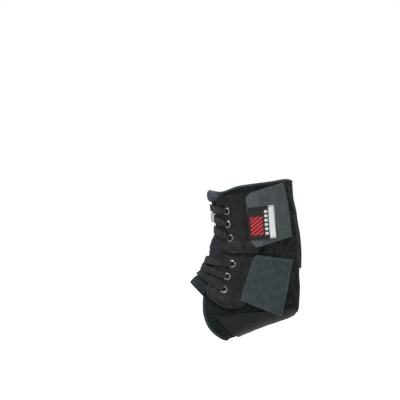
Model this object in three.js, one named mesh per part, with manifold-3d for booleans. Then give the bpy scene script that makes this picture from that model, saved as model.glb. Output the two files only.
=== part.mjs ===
// A laced ankle brace in its worn form, hollow for the leg and foot.
// Millimetres, +Z up, toes towards -X, heel towards +X, near side towards -Y.
// The origin is the centre of the ankle, inside the hollow.
import * as THREE from 'three';
import Module from 'manifold-3d';
import { mergeVertices } from 'three/addons/utils/BufferGeometryUtils.js';

const wasm = await Module();
wasm.setup();

// Overall size of the worn brace
const braceDepth = 128;
const braceHeight = 184;
const braceHalfWidth = 40;

// Cloth, tapes and hardware
const neopreneThickness = 3.5;
const tongueThickness = 3;
const flapThickness = 1.8;
const strapThickness = 1.3;
const stirrupThickness = 1.4;
const labelThickness = 0.6;
const bindingWidth = 3.6;
const bindingThickness = 5.2;
const heelBindingWidth = 4.4;
const tongueTapeWidth = 8;
const tongueTapeThickness = 4;
const lipHeight = 14;
const lipThickness = 8;
const lipStandoff = 5;
const laceWidth = 7;
const laceThickness = 1.2;
const laceTuckedEnd = 6;
const strapRest = 3;
const strapRamp = 9;
const lapRamp = 4;
const eyeletBore = 4.2;
const eyeletOuter = 8.6;
const eyeletWall = 0.6;
const eyeletFlange = 0.8;
const clearance = 0.3;

// Sections of the skin, the outer face of the neoprene. Each lies across the leg or the foot, between a point in
// front and a point behind. x is a share of braceDepth, z of braceHeight, wide of braceHalfWidth. lean makes the
// section wider in front than behind, and square makes it fuller at its corners.
const sections = [
  { frontX: -0.380, frontZ: 0.450, rearX: 0.298, rearZ: 0.554, wide: 0.95, lean: 0.05, square: 0.00 },
  { frontX: -0.359, frontZ: 0.347, rearX: 0.328, rearZ: 0.402, wide: 0.93, lean: 0.05, square: 0.00 },
  { frontX: -0.343, frontZ: 0.255, rearX: 0.363, rearZ: 0.268, wide: 0.90, lean: 0.08, square: 0.00 },
  { frontX: -0.345, frontZ: 0.170, rearX: 0.385, rearZ: 0.158, wide: 0.89, lean: 0.10, square: 0.00 },
  { frontX: -0.372, frontZ: 0.094, rearX: 0.398, rearZ: 0.061, wide: 0.90, lean: 0.12, square: 0.00 },
  { frontX: -0.402, frontZ: 0.036, rearX: 0.398, rearZ: -0.037, wide: 0.93, lean: 0.12, square: 0.00 },
  { frontX: -0.433, frontZ: -0.018, rearX: 0.420, rearZ: -0.146, wide: 0.94, lean: 0.08, square: 0.00 },
  { frontX: -0.464, frontZ: -0.064, rearX: 0.398, rearZ: -0.259, wide: 0.93, lean: 0.00, square: 0.05 },
  { frontX: -0.507, frontZ: -0.088, rearX: 0.299, rearZ: -0.325, wide: 0.93, lean: -0.10, square: 0.10 },
  { frontX: -0.547, frontZ: -0.113, rearX: 0.071, rearZ: -0.380, wide: 0.95, lean: -0.16, square: 0.15 },
  { frontX: -0.582, frontZ: -0.137, rearX: -0.171, rearZ: -0.448, wide: 0.97, lean: -0.18, square: 0.20 },
  { frontX: -0.634, frontZ: -0.174, rearX: -0.300, rearZ: -0.486, wide: 1.00, lean: -0.18, square: 0.20 },
  { frontX: -0.678, frontZ: -0.204, rearX: -0.378, rearZ: -0.519, wide: 1.01, lean: -0.18, square: 0.20 },
];

// Edges and seams as they are seen from the side, in shares of braceDepth and braceHeight
const rimPoints = [
  { x: -0.411, z: 0.398 },
  { x: -0.363, z: 0.407 },
  { x: -0.285, z: 0.421 },
  { x: -0.183, z: 0.448 },
  { x: -0.072, z: 0.461 },
  { x: 0.109, z: 0.478 },
  { x: 0.243, z: 0.494 },
  { x: 0.306, z: 0.486 },
];
const frontSeamPoints = [
  { x: -0.284, z: 0.431 },
  { x: -0.275, z: 0.347 },
  { x: -0.275, z: 0.139 },
  { x: -0.271, z: 0.067 },
  { x: -0.276, z: -0.010 },
  { x: -0.323, z: -0.093 },
  { x: -0.387, z: -0.156 },
  { x: -0.451, z: -0.190 },
];
const rearSeamPoints = [
  { x: 0.266, z: 0.502 },
  { x: 0.296, z: 0.389 },
  { x: 0.324, z: 0.305 },
  { x: 0.347, z: 0.197 },
  { x: 0.361, z: 0.094 },
  { x: 0.363, z: 0.004 },
  { x: 0.366, z: -0.104 },
  { x: 0.366, z: -0.194 },
  { x: 0.364, z: -0.249 },
  { x: 0.356, z: -0.291 },
  { x: 0.355, z: -0.317 },
];
const tongueFootPoints = [
  { x: -0.545, z: -0.115 },
  { x: -0.496, z: -0.143 },
  { x: -0.444, z: -0.178 },
];
const footPoints = [
  { x: -0.444, z: -0.201 },
  { x: -0.454, z: -0.242 },
  { x: -0.451, z: -0.294 },
  { x: -0.422, z: -0.356 },
  { x: -0.375, z: -0.402 },
  { x: -0.311, z: -0.442 },
  { x: -0.245, z: -0.470 },
];
const heelTopPoint = { x: 0.411, z: -0.028 };

// Swell of the padded tongue between the laces, down its front: height on the skin's front line and outward swell,
// as a share of tongueThickness
const tongueSwell = [
  { z: 0.347, swell: 1.1 },
  { z: 0.272, swell: 0.9 },
  { z: 0.230, swell: 0.6 },
  { z: 0.190, swell: 0.5 },
  { z: 0.140, swell: 1.3 },
  { z: 0.080, swell: 1.3 },
  { z: 0.030, swell: 0.4 },
  { z: -0.060, swell: 0.1 },
  { z: -0.100, swell: 0.8 },
  { z: -0.137, swell: 0.7 },
];

// Panels that lie over the skin, a row for each cut across them from top to bottom
const upperFlapRows = [
  { frontX: -0.275, frontZ: 0.405, rearX: -0.004, rearZ: 0.433 },
  { frontX: -0.302, frontZ: 0.392, rearX: 0.001, rearZ: 0.413 },
  { frontX: -0.319, frontZ: 0.362, rearX: 0.005, rearZ: 0.377 },
  { frontX: -0.323, frontZ: 0.305, rearX: 0.009, rearZ: 0.312 },
  { frontX: -0.323, frontZ: 0.209, rearX: 0.013, rearZ: 0.211 },
  { frontX: -0.321, frontZ: 0.138, rearX: 0.013, rearZ: 0.134 },
  { frontX: -0.307, frontZ: 0.099, rearX: 0.012, rearZ: 0.095 },
  { frontX: -0.278, frontZ: 0.072, rearX: 0.009, rearZ: 0.076 },
  { frontX: -0.223, frontZ: 0.054, rearX: -0.004, rearZ: 0.060 },
];
const lowerFlapRows = [
  { frontX: -0.280, frontZ: 0.087, rearX: -0.009, rearZ: 0.089 },
  { frontX: -0.306, frontZ: 0.044, rearX: 0.013, rearZ: 0.045 },
  { frontX: -0.353, frontZ: -0.028, rearX: 0.004, rearZ: -0.026 },
  { frontX: -0.396, frontZ: -0.105, rearX: -0.030, rearZ: -0.103 },
  { frontX: -0.426, frontZ: -0.165, rearX: -0.064, rearZ: -0.174 },
  { frontX: -0.420, frontZ: -0.200, rearX: -0.085, rearZ: -0.215 },
  { frontX: -0.379, frontZ: -0.229, rearX: -0.102, rearZ: -0.242 },
  { frontX: -0.319, frontZ: -0.253, rearX: -0.128, rearZ: -0.259 },
  { frontX: -0.259, frontZ: -0.268, rearX: -0.166, rearZ: -0.267 },
];
const upperStrapRows = [
  { frontX: -0.058, frontZ: 0.423, rearX: 0.219, rearZ: 0.482 },
  { frontX: -0.098, frontZ: 0.389, rearX: 0.231, rearZ: 0.449 },
  { frontX: -0.085, frontZ: 0.330, rearX: 0.257, rearZ: 0.365 },
  { frontX: -0.073, frontZ: 0.229, rearX: 0.277, rearZ: 0.282 },
  { frontX: -0.060, frontZ: 0.140, rearX: 0.289, rearZ: 0.210 },
  { frontX: -0.013, frontZ: 0.093, rearX: 0.293, rearZ: 0.158 },
];
const lowerStrapRows = [
  { frontX: -0.009, frontZ: 0.050, rearX: 0.292, rearZ: 0.022 },
  { frontX: -0.043, frontZ: 0.022, rearX: 0.284, rearZ: -0.011 },
  { frontX: -0.073, frontZ: -0.043, rearX: 0.269, rearZ: -0.073 },
  { frontX: -0.111, frontZ: -0.132, rearX: 0.248, rearZ: -0.160 },
  { frontX: -0.141, frontZ: -0.200, rearX: 0.218, rearZ: -0.258 },
  { frontX: -0.147, frontZ: -0.223, rearX: 0.204, rearZ: -0.312 },
];
const labelRows = [
  { frontX: -0.077, frontZ: 0.332, rearX: 0.136, rearZ: 0.348 },
  { frontX: -0.067, frontZ: 0.139, rearX: 0.166, rearZ: 0.153 },
];

// The stirrup's edges from its rear corner to its front corner: the top edge on the side, and the line under the sole
const stirrupRows = [
  { topX: 0.307, topZ: -0.258, soleX: 0.302, soleZ: -0.324 },
  { topX: 0.218, topZ: -0.269, soleX: 0.226, soleZ: -0.343 },
  { topX: 0.011, topZ: -0.286, soleX: 0.053, soleZ: -0.386 },
  { topX: -0.144, topZ: -0.297, soleX: -0.059, soleZ: -0.415 },
  { topX: -0.263, topZ: -0.312, soleX: -0.123, soleZ: -0.430 },
  { topX: -0.363, topZ: -0.317, soleX: -0.167, soleZ: -0.439 },
];

// Eyelets on the near side from top to bottom, the height of the lace's middle on the skin's front line, and how far
// the lace stands off the tongue there, in lace thicknesses
const upperLacing = [
  { x: -0.244, z: 0.312, middleZ: 0.335, standoff: 4.6 },
  { x: -0.235, z: 0.233, middleZ: 0.272, standoff: 3.6 },
  { x: -0.217, z: 0.148, middleZ: 0.204, standoff: 2.6 },
];
const lowerLacing = [
  { x: -0.205, z: -0.003, middleZ: 0.008, standoff: 3.4 },
  { x: -0.247, z: -0.078, middleZ: -0.034, standoff: 3.4 },
  { x: -0.281, z: -0.160, middleZ: -0.074, standoff: 3.4 },
];

// Heights above the skin that follow from the thicknesses
const overSkin = clearance;
const overFlap = 2 * clearance + flapThickness;
const stirrupRest = 2 * clearance;
const overStirrup = stirrupRest + stirrupThickness + 2 * clearance;
const laceRoom = laceThickness + 2 * clearance;
const flapTop = laceRoom + flapThickness;
const bindingHalf = bindingWidth / 2;
const heelBindingHalf = heelBindingWidth / 2;
const tapeHalf = tongueTapeWidth / 2;
const barrelRadius = eyeletBore / 2 + eyeletWall;
const bindingHeight = -neopreneThickness / 2;

const lerp = (a, b, t) => a + (b - a) * t;
const clamp = (x, lo, hi) => Math.min(hi, Math.max(lo, x));
const smooth = (x) => {
  const t = clamp(x, 0, 1);
  return t * t * (3 - 2 * t);
};

// Smooth curve through the rows of a table, at a row number that need not be whole
function rowAt(table, key, position) {
  const last = table.length - 1;
  const i = clamp(Math.floor(position), 0, last - 1);
  const t = position - i;
  const at = (k) => {
    if (k < 0) return 2 * table[0][key] - table[1][key];
    if (k > last) return 2 * table[last][key] - table[last - 1][key];
    return table[k][key];
  };
  const [p0, p1, p2, p3] = [at(i - 1), at(i), at(i + 1), at(i + 2)];
  if (position < 0 || position > last) return lerp(p1, p2, t);
  return p1 + t / 2 * (p2 - p0 + t * (2 * p0 - 5 * p1 + 4 * p2 - p3 + t * (3 * (p1 - p2) + p3 - p0)));
}

// Root of a function between two values where it changes sign
function solve(f, lo, hi) {
  const sign = Math.sign(f(lo)) || 1;
  for (let k = 0; k < 36; k++) {
    const mid = (lo + hi) / 2;
    if (Math.sign(f(mid)) === sign) lo = mid;
    else hi = mid;
  }
  return (lo + hi) / 2;
}

// Front and rear ends of the section v in the side view
function sectionEnds(v) {
  return {
    fx: rowAt(sections, 'frontX', v) * braceDepth,
    fz: rowAt(sections, 'frontZ', v) * braceHeight,
    rx: rowAt(sections, 'rearX', v) * braceDepth,
    rz: rowAt(sections, 'rearZ', v) * braceHeight,
  };
}

const alongSection = (a, square) => Math.cos(a) * (1 + square * Math.sin(a) ** 2);
const acrossSection = (a, square) => Math.sin(a) * (1 + square * Math.cos(a) ** 2);

// Point of the skin at section v and angle a: 0 in front, half a turn behind, the near side between them
function skin(v, a) {
  const { fx, fz, rx, rz } = sectionEnds(v);
  const square = rowAt(sections, 'square', v);
  const halfWidth = rowAt(sections, 'wide', v) * braceHalfWidth;
  const c = alongSection(a, square);
  return new THREE.Vector3(
    (fx + rx) / 2 - (rx - fx) / 2 * c,
    -halfWidth * acrossSection(a, square) * (1 + rowAt(sections, 'lean', v) * c),
    (fz + rz) / 2 - (rz - fz) / 2 * c,
  );
}

function skinNormal(v, a) {
  const step = 0.02;
  const down = skin(v + step, a).sub(skin(v - step, a));
  const round = skin(v, a + step).sub(skin(v, a - step));
  return down.cross(round).normalize();
}

const offSkin = (v, a, height) => skin(v, a).addScaledVector(skinNormal(v, a), height);

// Millimetres along the skin for one unit of angle
const perTurn = (v, a) => skin(v, a + 0.05).distanceTo(skin(v, a - 0.05)) / 0.1;

// Section and angle of a point that is seen from the near side, its x and z given as shares
function fromSide(xShare, zShare) {
  const x = xShare * braceDepth;
  const z = zShare * braceHeight;
  const v = solve((t) => {
    const { fx, fz, rx, rz } = sectionEnds(t);
    return (x - fx) * (rz - fz) - (z - fz) * (rx - fx);
  }, -1, sections.length);
  const { fx, fz, rx, rz } = sectionEnds(v);
  const share = ((x - fx) * (rx - fx) + (z - fz) * (rz - fz)) / ((rx - fx) ** 2 + (rz - fz) ** 2);
  const along = clamp(1 - 2 * share, -1, 1);
  const square = rowAt(sections, 'square', v);
  const a = solve((t) => alongSection(t, square) - along, 0, Math.PI);
  return { v, a };
}

// Section whose front or rear end has a height, given as a share of braceHeight
const sectionAt = (end, zShare) => solve((t) => sectionEnds(t)[end] - zShare * braceHeight, -1, sections.length);

// Edges and seams

// An edge is a list of { v, a } down or round the skin. reader turns it into a function of one of the two.
function reader(path, from, to) {
  const rows = path.slice().sort((p, q) => p[from] - q[from]);
  const last = rows.length - 1;
  return (value) => {
    if (value <= rows[0][from]) return rows[0][to];
    if (value >= rows[last][from]) return rows[last][to];
    const i = rows.findIndex((row) => row[from] > value) - 1;
    const t = (value - rows[i][from]) / (rows[i + 1][from] - rows[i][from]);
    return lerp(rows[i][to], rows[i + 1][to], t);
  };
}

// Smooth edge through the points of a side view
function edgeThrough(points, steps = 40) {
  return Array.from({ length: steps + 1 }, (_, i) => {
    const row = i / steps * (points.length - 1);
    return fromSide(rowAt(points, 'x', row), rowAt(points, 'z', row));
  });
}

// Distance from a point to an edge, on the near side
function distanceTo(line, p) {
  let best = Infinity;
  for (let i = 1; i < line.length; i++) {
    const side = line[i].clone().sub(line[i - 1]);
    const t = clamp(p.clone().sub(line[i - 1]).dot(side) / side.lengthSq(), 0, 1);
    best = Math.min(best, p.distanceTo(line[i - 1].clone().addScaledVector(side, t)));
  }
  return best;
}

// The same edge moved across the skin by a distance that may change with the angle. sense is the way along 'to'.
function moved(path, from, to, distance, sense, samples) {
  const line = path.map((p) => skin(p.v, p.a));
  const on = reader(path, from, to);
  const reach = to === 'v' ? 3 : 1.2;
  return samples.map((value) => {
    const point = (x) => (to === 'v' ? { v: x, a: value } : { v: value, a: x });
    const away = (x) => {
      const p = point(x);
      return distanceTo(line, skin(p.v, p.a)) - distance(p.a);
    };
    const start = on(value);
    if (away(start) > 0) return point(start);
    return point(solve(away, start, start + sense * reach));
  });
}

const spaced = (lo, hi, count) => Array.from({ length: count + 1 }, (_, i) => lerp(lo, hi, i / count));

// The same edge carried on at its own level to an angle before its start or after its end
const from = (angle, path) => [{ v: path[0].v, a: angle }, ...path.filter((p) => p.a > angle)];
const upTo = (angle, path) => [...path.filter((p) => p.a < angle), { v: path.at(-1).v, a: angle }];

const halfTurn = Math.PI;
const frontSeamPath = edgeThrough(frontSeamPoints);
const rearSeamPath = edgeThrough(rearSeamPoints);
const rimPath = from(0, upTo(halfTurn, edgeThrough(rimPoints)));
const footPath = upTo(halfTurn, edgeThrough(footPoints));
const tongueFootPath = from(0, edgeThrough(tongueFootPoints));
const heelTop = fromSide(heelTopPoint.x, heelTopPoint.z).v;

const rim = reader(rimPath, 'a', 'v');
const frontSeam = reader(frontSeamPath, 'v', 'a');
const tongueFoot = reader(tongueFootPath, 'a', 'v');
const foot = reader(footPath, 'a', 'v');

// The top binding swells into the rolled lip in front
const nearAngle = (a) => Math.abs(Math.atan2(Math.sin(a), Math.cos(a)));
const lipEnd = 0.25;
const lipFade = 0.6;
const lipShare = (a) => 1 - smooth((nearAngle(a) - lipEnd) / lipFade);
const rimHalf = (a) => lerp(bindingHalf, lipHeight / 2, lipShare(a));
const rimThickness = (a) => lerp(bindingThickness, lipThickness, lipShare(a));

// The side panel keeps further off its bindings where they bend sharply, above the sole in front and at the heel
const extraInFront = (a) => 1.2 * smooth((1.4 - a) / 0.4);
const extraAtHeel = (a) => 1.4 * smooth((a - 2.65) / 0.25);

// Where the panels stop beside their bindings
const belowRim = reader(
  moved(rimPath, 'a', 'v', (a) => rimHalf(a) + clearance, 1, spaced(0, halfTurn, 40)), 'a', 'v');
const aboveFoot = reader(
  moved(from(0.4, footPath), 'a', 'v', (a) => bindingHalf + clearance + extraInFront(a), -1,
    spaced(0.6, halfTurn, 48)), 'a', 'v');
const aboveTongueFoot = reader(
  moved(upTo(1.6, tongueFootPath), 'a', 'v', () => tapeHalf + clearance, -1, spaced(0, 1.4, 24)), 'a', 'v');
const heelLine = rearSeamPath.map((p) => ({ v: p.v, a: Math.min(p.a, halfTurn) }));
const beforeRearSeam = reader(moved(
  heelLine, 'v', 'a', (a) => heelBindingHalf + clearance + extraAtHeel(a), -1,
  spaced(-1, sections.length, 160)), 'v', 'a');
const behindRearSeam = reader(moved(
  heelLine, 'v', 'a', () => heelBindingHalf + clearance, 1, spaced(-1, heelTop + 1, 60)), 'v', 'a');
const heelBottom = Math.max(...rearSeamPath.map((p) => p.v));

// Meshes

// Geometry from points and triangles, turned so that its faces point out
function closed(position, index) {
  let volume = 0;
  const [p, q, r] = [new THREE.Vector3(), new THREE.Vector3(), new THREE.Vector3()];
  for (let k = 0; k < index.length; k += 3) {
    p.fromArray(position, 3 * index[k]);
    q.fromArray(position, 3 * index[k + 1]);
    r.fromArray(position, 3 * index[k + 2]);
    volume += p.dot(q.cross(r));
  }
  if (volume < 0) {
    for (let k = 0; k < index.length; k += 3) [index[k], index[k + 1]] = [index[k + 1], index[k]];
  }
  const geometry = new THREE.BufferGeometry();
  geometry.setAttribute('position', new THREE.Float32BufferAttribute(position, 3));
  geometry.setIndex(index);
  return geometry;
}

// A wall over a grid of the skin: at(r, t) gives { v, a, inner, outer } for r and t from 0 to 1
function wall(rows, columns, at) {
  const position = [];
  const index = [];
  const grid = [];
  for (let i = 0; i <= rows; i++) {
    for (let j = 0; j <= columns; j++) grid.push(at(i / rows, j / columns));
  }
  for (const face of ['inner', 'outer']) {
    for (const p of grid) position.push(...offSkin(p.v, p.a, p[face]).toArray());
  }
  const id = (face, i, j) => face * grid.length + i * (columns + 1) + j;
  const quad = (p, q, r, s) => index.push(p, q, r, p, r, s);
  for (let i = 0; i < rows; i++) {
    for (let j = 0; j < columns; j++) {
      quad(id(1, i, j), id(1, i + 1, j), id(1, i + 1, j + 1), id(1, i, j + 1));
      quad(id(0, i, j), id(0, i, j + 1), id(0, i + 1, j + 1), id(0, i + 1, j));
    }
    quad(id(0, i, 0), id(0, i + 1, 0), id(1, i + 1, 0), id(1, i, 0));
    quad(id(0, i + 1, columns), id(0, i, columns), id(1, i, columns), id(1, i + 1, columns));
  }
  for (let j = 0; j < columns; j++) {
    quad(id(0, 0, j + 1), id(0, 0, j), id(1, 0, j), id(1, 0, j + 1));
    quad(id(0, rows, j), id(0, rows, j + 1), id(1, rows, j + 1), id(1, rows, j));
  }
  return closed(position, index);
}

// A band through frames { p, across, up, halfWidth, halfUp }, open or a ring. Four corners make it flat, six rounded.
function band(frames, corners, ring = false) {
  const position = [];
  const index = [];
  const flat = Math.PI / corners;
  for (const f of frames) {
    for (let k = 0; k < corners; k++) {
      const turn = corners === 4 ? (2 * k + 1) * flat : 2 * k * flat;
      const c = corners === 4 ? Math.sign(Math.cos(turn)) : Math.cos(turn);
      const s = corners === 4 ? Math.sign(Math.sin(turn)) : Math.sin(turn) / Math.cos(flat);
      const p = f.p.clone().addScaledVector(f.across, c * f.halfWidth).addScaledVector(f.up, s * f.halfUp);
      position.push(...p.toArray());
    }
  }
  const count = frames.length;
  for (let i = 0; i < (ring ? count : count - 1); i++) {
    const next = (i + 1) % count;
    for (let k = 0; k < corners; k++) {
      const m = (k + 1) % corners;
      index.push(i * corners + k, next * corners + k, next * corners + m);
      index.push(i * corners + k, next * corners + m, i * corners + m);
    }
  }
  const end = (count - 1) * corners;
  for (let k = 1; !ring && k < corners - 1; k++) index.push(0, k, k + 1, end, end + k + 1, end + k);
  return closed(position, index);
}

// Frames along the skin: path(t) gives { v, a, height, halfWidth, halfUp } for t from 0 to 1
function skinFrames(steps, path, ring = false) {
  const points = spaced(0, 1, steps).slice(0, ring ? steps : steps + 1).map((t) => {
    const s = path(t);
    return { ...s, p: offSkin(s.v, s.a, s.height), up: skinNormal(s.v, s.a) };
  });
  const last = points.length - 1;
  return points.map((s, i) => {
    const before = points[ring ? (i + last) % (last + 1) : Math.max(0, i - 1)];
    const after = points[ring ? (i + 1) % (last + 1) : Math.min(last, i + 1)];
    const ahead = after.p.clone().sub(before.p).normalize();
    const across = s.up.clone().cross(ahead).normalize();
    return { ...s, across, up: ahead.cross(across).normalize() };
  });
}

// The same piece on the far side
function mirrored(geometry) {
  const position = Array.from(geometry.attributes.position.array);
  for (let k = 1; k < position.length; k += 3) position[k] = -position[k];
  return closed(position, Array.from(geometry.index.array));
}

function merged(geometry) {
  const plain = new THREE.BufferGeometry();
  plain.setAttribute('position', geometry.attributes.position);
  plain.setIndex(geometry.index);
  return mergeVertices(plain);
}

function toSolid(geometry) {
  const mesh = merged(geometry);
  return new wasm.Manifold(new wasm.Mesh({
    numProp: 3,
    vertProperties: new Float32Array(mesh.attributes.position.array),
    triVerts: new Uint32Array(mesh.index.array),
  }));
}

function fromSolid(solid) {
  const mesh = solid.getMesh();
  return closed(Array.from(mesh.vertProperties), Array.from(mesh.triVerts));
}

// Base layer

// Settles { v, a } where each of the two limits depends on the other
function settle(v, a, nextA, nextV) {
  for (let k = 0; k < 14; k++) {
    a = nextA(v);
    v = lerp(v, nextV(a), 0.7);
  }
  return { v, a };
}

// Rows of the side panel, closer together round the corner under the heel
const heelCorner = 0.65;
const rowShare = (r) => r - (Math.sin(2 * halfTurn * (r - heelCorner)) + Math.sin(2 * halfTurn * heelCorner)) / 10;

function quarter() {
  return wall(18, 10, (r, t) => ({
    ...settle(lerp(1, 9, r), halfTurn / 2, (v) => {
      const front = frontSeam(v) + clearance / 2 / perTurn(v, frontSeam(v));
      const rear = Math.min(beforeRearSeam(v), halfTurn - clearance / 2 / perTurn(v, halfTurn));
      return lerp(front, rear, t);
    }, (a) => lerp(belowRim(a), aboveFoot(a), rowShare(r))),
    inner: -neopreneThickness,
    outer: 0,
  }));
}

function backPanel() {
  return wall(12, 6, (r, t) => ({
    ...settle(lerp(1, heelTop, r), halfTurn, (v) => {
      const side = behindRearSeam(v);
      return lerp(side, 2 * halfTurn - side, t);
    }, (a) => {
      const toTop = (v) => skin(v, halfTurn).distanceTo(skin(heelTop, halfTurn)) - bindingHalf - clearance;
      const bottom = solve(toTop, 0, heelTop);
      return lerp(belowRim(nearAngle(a)), bottom, r);
    }),
    inner: -neopreneThickness,
    outer: 0,
  }));
}

// Outward swell of the tongue at a section
function swellAt(v) {
  const z = sectionEnds(v).fz / braceHeight;
  const i = tongueSwell.findIndex((row) => row.z <= z);
  if (i <= 0) return tongueSwell.at(i === 0 ? 0 : -1).swell * tongueThickness;
  const t = (tongueSwell[i - 1].z - z) / (tongueSwell[i - 1].z - tongueSwell[i].z);
  return lerp(tongueSwell[i - 1].swell, tongueSwell[i].swell, smooth(t)) * tongueThickness;
}

const crown = (t) => Math.cos(halfTurn / 2 * (2 * t - 1)) ** 4;

function tongue() {
  return wall(16, 8, (r, t) => {
    const { v, a } = settle(lerp(1, 9, r), 0, (at) => {
      const side = frontSeam(at) - clearance / 2 / perTurn(at, frontSeam(at));
      return lerp(-side, side, t);
    }, (at) => lerp(belowRim(nearAngle(at)), aboveTongueFoot(nearAngle(at)), r));
    const swell = swellAt(v) * crown(t);
    return { v, a, inner: swell / 2 - tongueThickness, outer: swell };
  });
}

// Bindings

function topBinding() {
  return band(skinFrames(40, (t) => {
    const a = 2 * halfTurn * t;
    return {
      v: rim(nearAngle(a)),
      a,
      height: bindingHeight + lipStandoff * lipShare(a),
      halfWidth: rimHalf(a),
      halfUp: rimThickness(a) / 2,
    };
  }, true), 6, true);
}

// Down one rear seam, under the heel and up the other
function heelBinding() {
  const stop = solve((v) => {
    const a = reader(rearSeamPath, 'v', 'a')(v);
    return skin(v, a).distanceTo(skin(rim(a), a)) - bindingHalf - 2 * clearance;
  }, rim(rearSeamPath[0].a), 4);
  const side = rearSeamPath.filter((p) => p.v > stop && p.a < halfTurn - 0.02);
  const first = { v: stop, a: reader(rearSeamPath, 'v', 'a')(stop) };
  const near = [first, ...side.filter((p, i) => i % 2 === 1)];
  const path = [
    ...near,
    { v: heelBottom, a: halfTurn },
    ...near.slice().reverse().map((p) => ({ v: p.v, a: 2 * halfTurn - p.a })),
  ];
  const last = path.length - 1;
  return band(skinFrames(last, (t) => ({
    ...path[Math.round(t * last)],
    height: bindingHeight,
    halfWidth: heelBindingHalf,
    halfUp: bindingThickness / 2,
  })), 6);
}

function heelTopBinding() {
  const seam = behindRearSeam(heelTop);
  const side = seam + clearance / perTurn(heelTop, seam);
  return band(skinFrames(6, (t) => ({
    v: heelTop,
    a: lerp(side, 2 * halfTurn - side, t),
    height: bindingHeight,
    halfWidth: bindingHalf,
    halfUp: bindingThickness / 2,
  })), 6);
}

function footBinding() {
  const start = footPath[0].a + (bindingHalf + clearance) / perTurn(footPath[0].v, footPath[0].a);
  return band(skinFrames(34, (t) => {
    const a = lerp(start, 2 * halfTurn - start, t);
    return {
      v: foot(nearAngle(a)),
      a,
      height: bindingHeight,
      halfWidth: bindingHalf,
      halfUp: bindingThickness / 2,
    };
  }), 6);
}

function tongueBinding() {
  const end = tongueFootPath.at(-1);
  const reach = end.a - clearance / perTurn(end.v, end.a);
  return band(skinFrames(14, (t) => {
    const a = lerp(-reach, reach, t);
    return {
      v: tongueFoot(nearAngle(a)),
      a,
      height: swellAt(sections.length) * crown(t) * 0.75 - tongueThickness / 2,
      halfWidth: tapeHalf,
      halfUp: tongueTapeThickness / 2,
    };
  }), 6);
}

// Panels over the skin

// Point of a panel's table in the side view, as shares
function panelPoint(table, r, t) {
  const row = r * (table.length - 1);
  return {
    x: lerp(rowAt(table, 'frontX', row), rowAt(table, 'rearX', row), t),
    z: lerp(rowAt(table, 'frontZ', row), rowAt(table, 'rearZ', row), t),
  };
}

// The upper flap steps up onto the lower one where it covers its top edge
function lapStep(z) {
  const lapTop = lowerFlapRows[0].frontZ * braceHeight + lapRamp / 2;
  return (flapThickness + 2.5 * clearance) * smooth((lapTop + lapRamp - z * braceHeight) / lapRamp);
}

// A flap stands off the skin where the lace runs under it, and lies down on it behind the eyelets. Both lengths are
// shares of its width.
const upperFlapRaised = 0.53;
const lowerFlapRaised = 0.56;
const flapRamp = 0.15;

function flapPoint(table, r, t) {
  const { x, z } = panelPoint(table, r, t);
  const upper = table === upperFlapRows;
  const step = upper ? lapStep(z) : 0;
  const inner = lerp(laceRoom, overSkin, smooth((t - (upper ? upperFlapRaised : lowerFlapRaised)) / flapRamp)) + step;
  return { ...fromSide(x, z), inner, outer: inner + flapThickness };
}

// Underside of a strap: on the flap in front, then down to what lies behind it
function strapHeight(x, flapRows, below) {
  const flapEnd = Math.max(...flapRows.map((row) => row.rearX)) * braceDepth;
  return lerp(overFlap, below, smooth((x * braceDepth - flapEnd - strapRest) / strapRamp));
}

// The upper strap follows the flap's step as far back as this x, over this length, both shares of braceDepth
const stepEnd = 0.06;
const stepFade = 0.03;

function strapPoint(table, flapRows, below, r, t) {
  const { x, z } = panelPoint(table, r, t);
  const step = flapRows === upperFlapRows ? lapStep(z) * smooth((stepEnd - x) / stepFade) : 0;
  const inner = strapHeight(x, flapRows, below) + step;
  return { ...fromSide(x, z), inner, outer: inner + strapThickness };
}

const strap = (table, flapRows, below) => wall(9, 7, (r, t) => strapPoint(table, flapRows, below, r, t));

function label() {
  const gap = 1.5 * clearance;
  return wall(6, 7, (r, t) => {
    const { x, z } = panelPoint(labelRows, r, t);
    const inner = strapHeight(x, upperFlapRows, overSkin) + strapThickness + gap;
    return { ...fromSide(x, z), inner, outer: inner + labelThickness };
  });
}

function stirrup() {
  return wall(8, 16, (r, t) => {
    const row = r * (stirrupRows.length - 1);
    const top = fromSide(rowAt(stirrupRows, 'topX', row), rowAt(stirrupRows, 'topZ', row));
    const sole = sectionAt('rz', rowAt(stirrupRows, 'soleZ', row));
    const share = 1 - Math.abs(2 * t - 1);
    const a = lerp(top.a, halfTurn, share);
    return {
      v: lerp(top.v, sole, share),
      a: t <= 0.5 ? a : 2 * halfTurn - a,
      inner: stirrupRest,
      outer: stirrupRest + stirrupThickness,
    };
  });
}

// Eyelets

// Place of an eyelet: its foot on the skin and the outward direction
function eyeletPlace(row) {
  const { v, a } = fromSide(row.x, row.z);
  return { v, a, foot: skin(v, a), up: skinNormal(v, a) };
}

function stood(geometry, place, height) {
  geometry.applyQuaternion(new THREE.Quaternion().setFromUnitVectors(new THREE.Vector3(0, 0, 1), place.up));
  const at = place.foot.clone().addScaledVector(place.up, height);
  return geometry.translate(at.x, at.y, at.z);
}

function eyelet(place) {
  const bore = eyeletBore / 2;
  const crest = clearance + eyeletFlange;
  const profile = [
    [bore, -flapThickness], [barrelRadius, -flapThickness], [barrelRadius, clearance],
    [eyeletOuter / 2, clearance], [barrelRadius, crest], [bore, -flapThickness],
  ].map(([radius, height]) => new THREE.Vector2(radius, height));
  const ring = merged(new THREE.LatheGeometry(profile, 10).rotateX(halfTurn / 2));
  return stood(closed(Array.from(ring.attributes.position.array), Array.from(ring.index.array)), place, flapTop);
}

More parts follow.
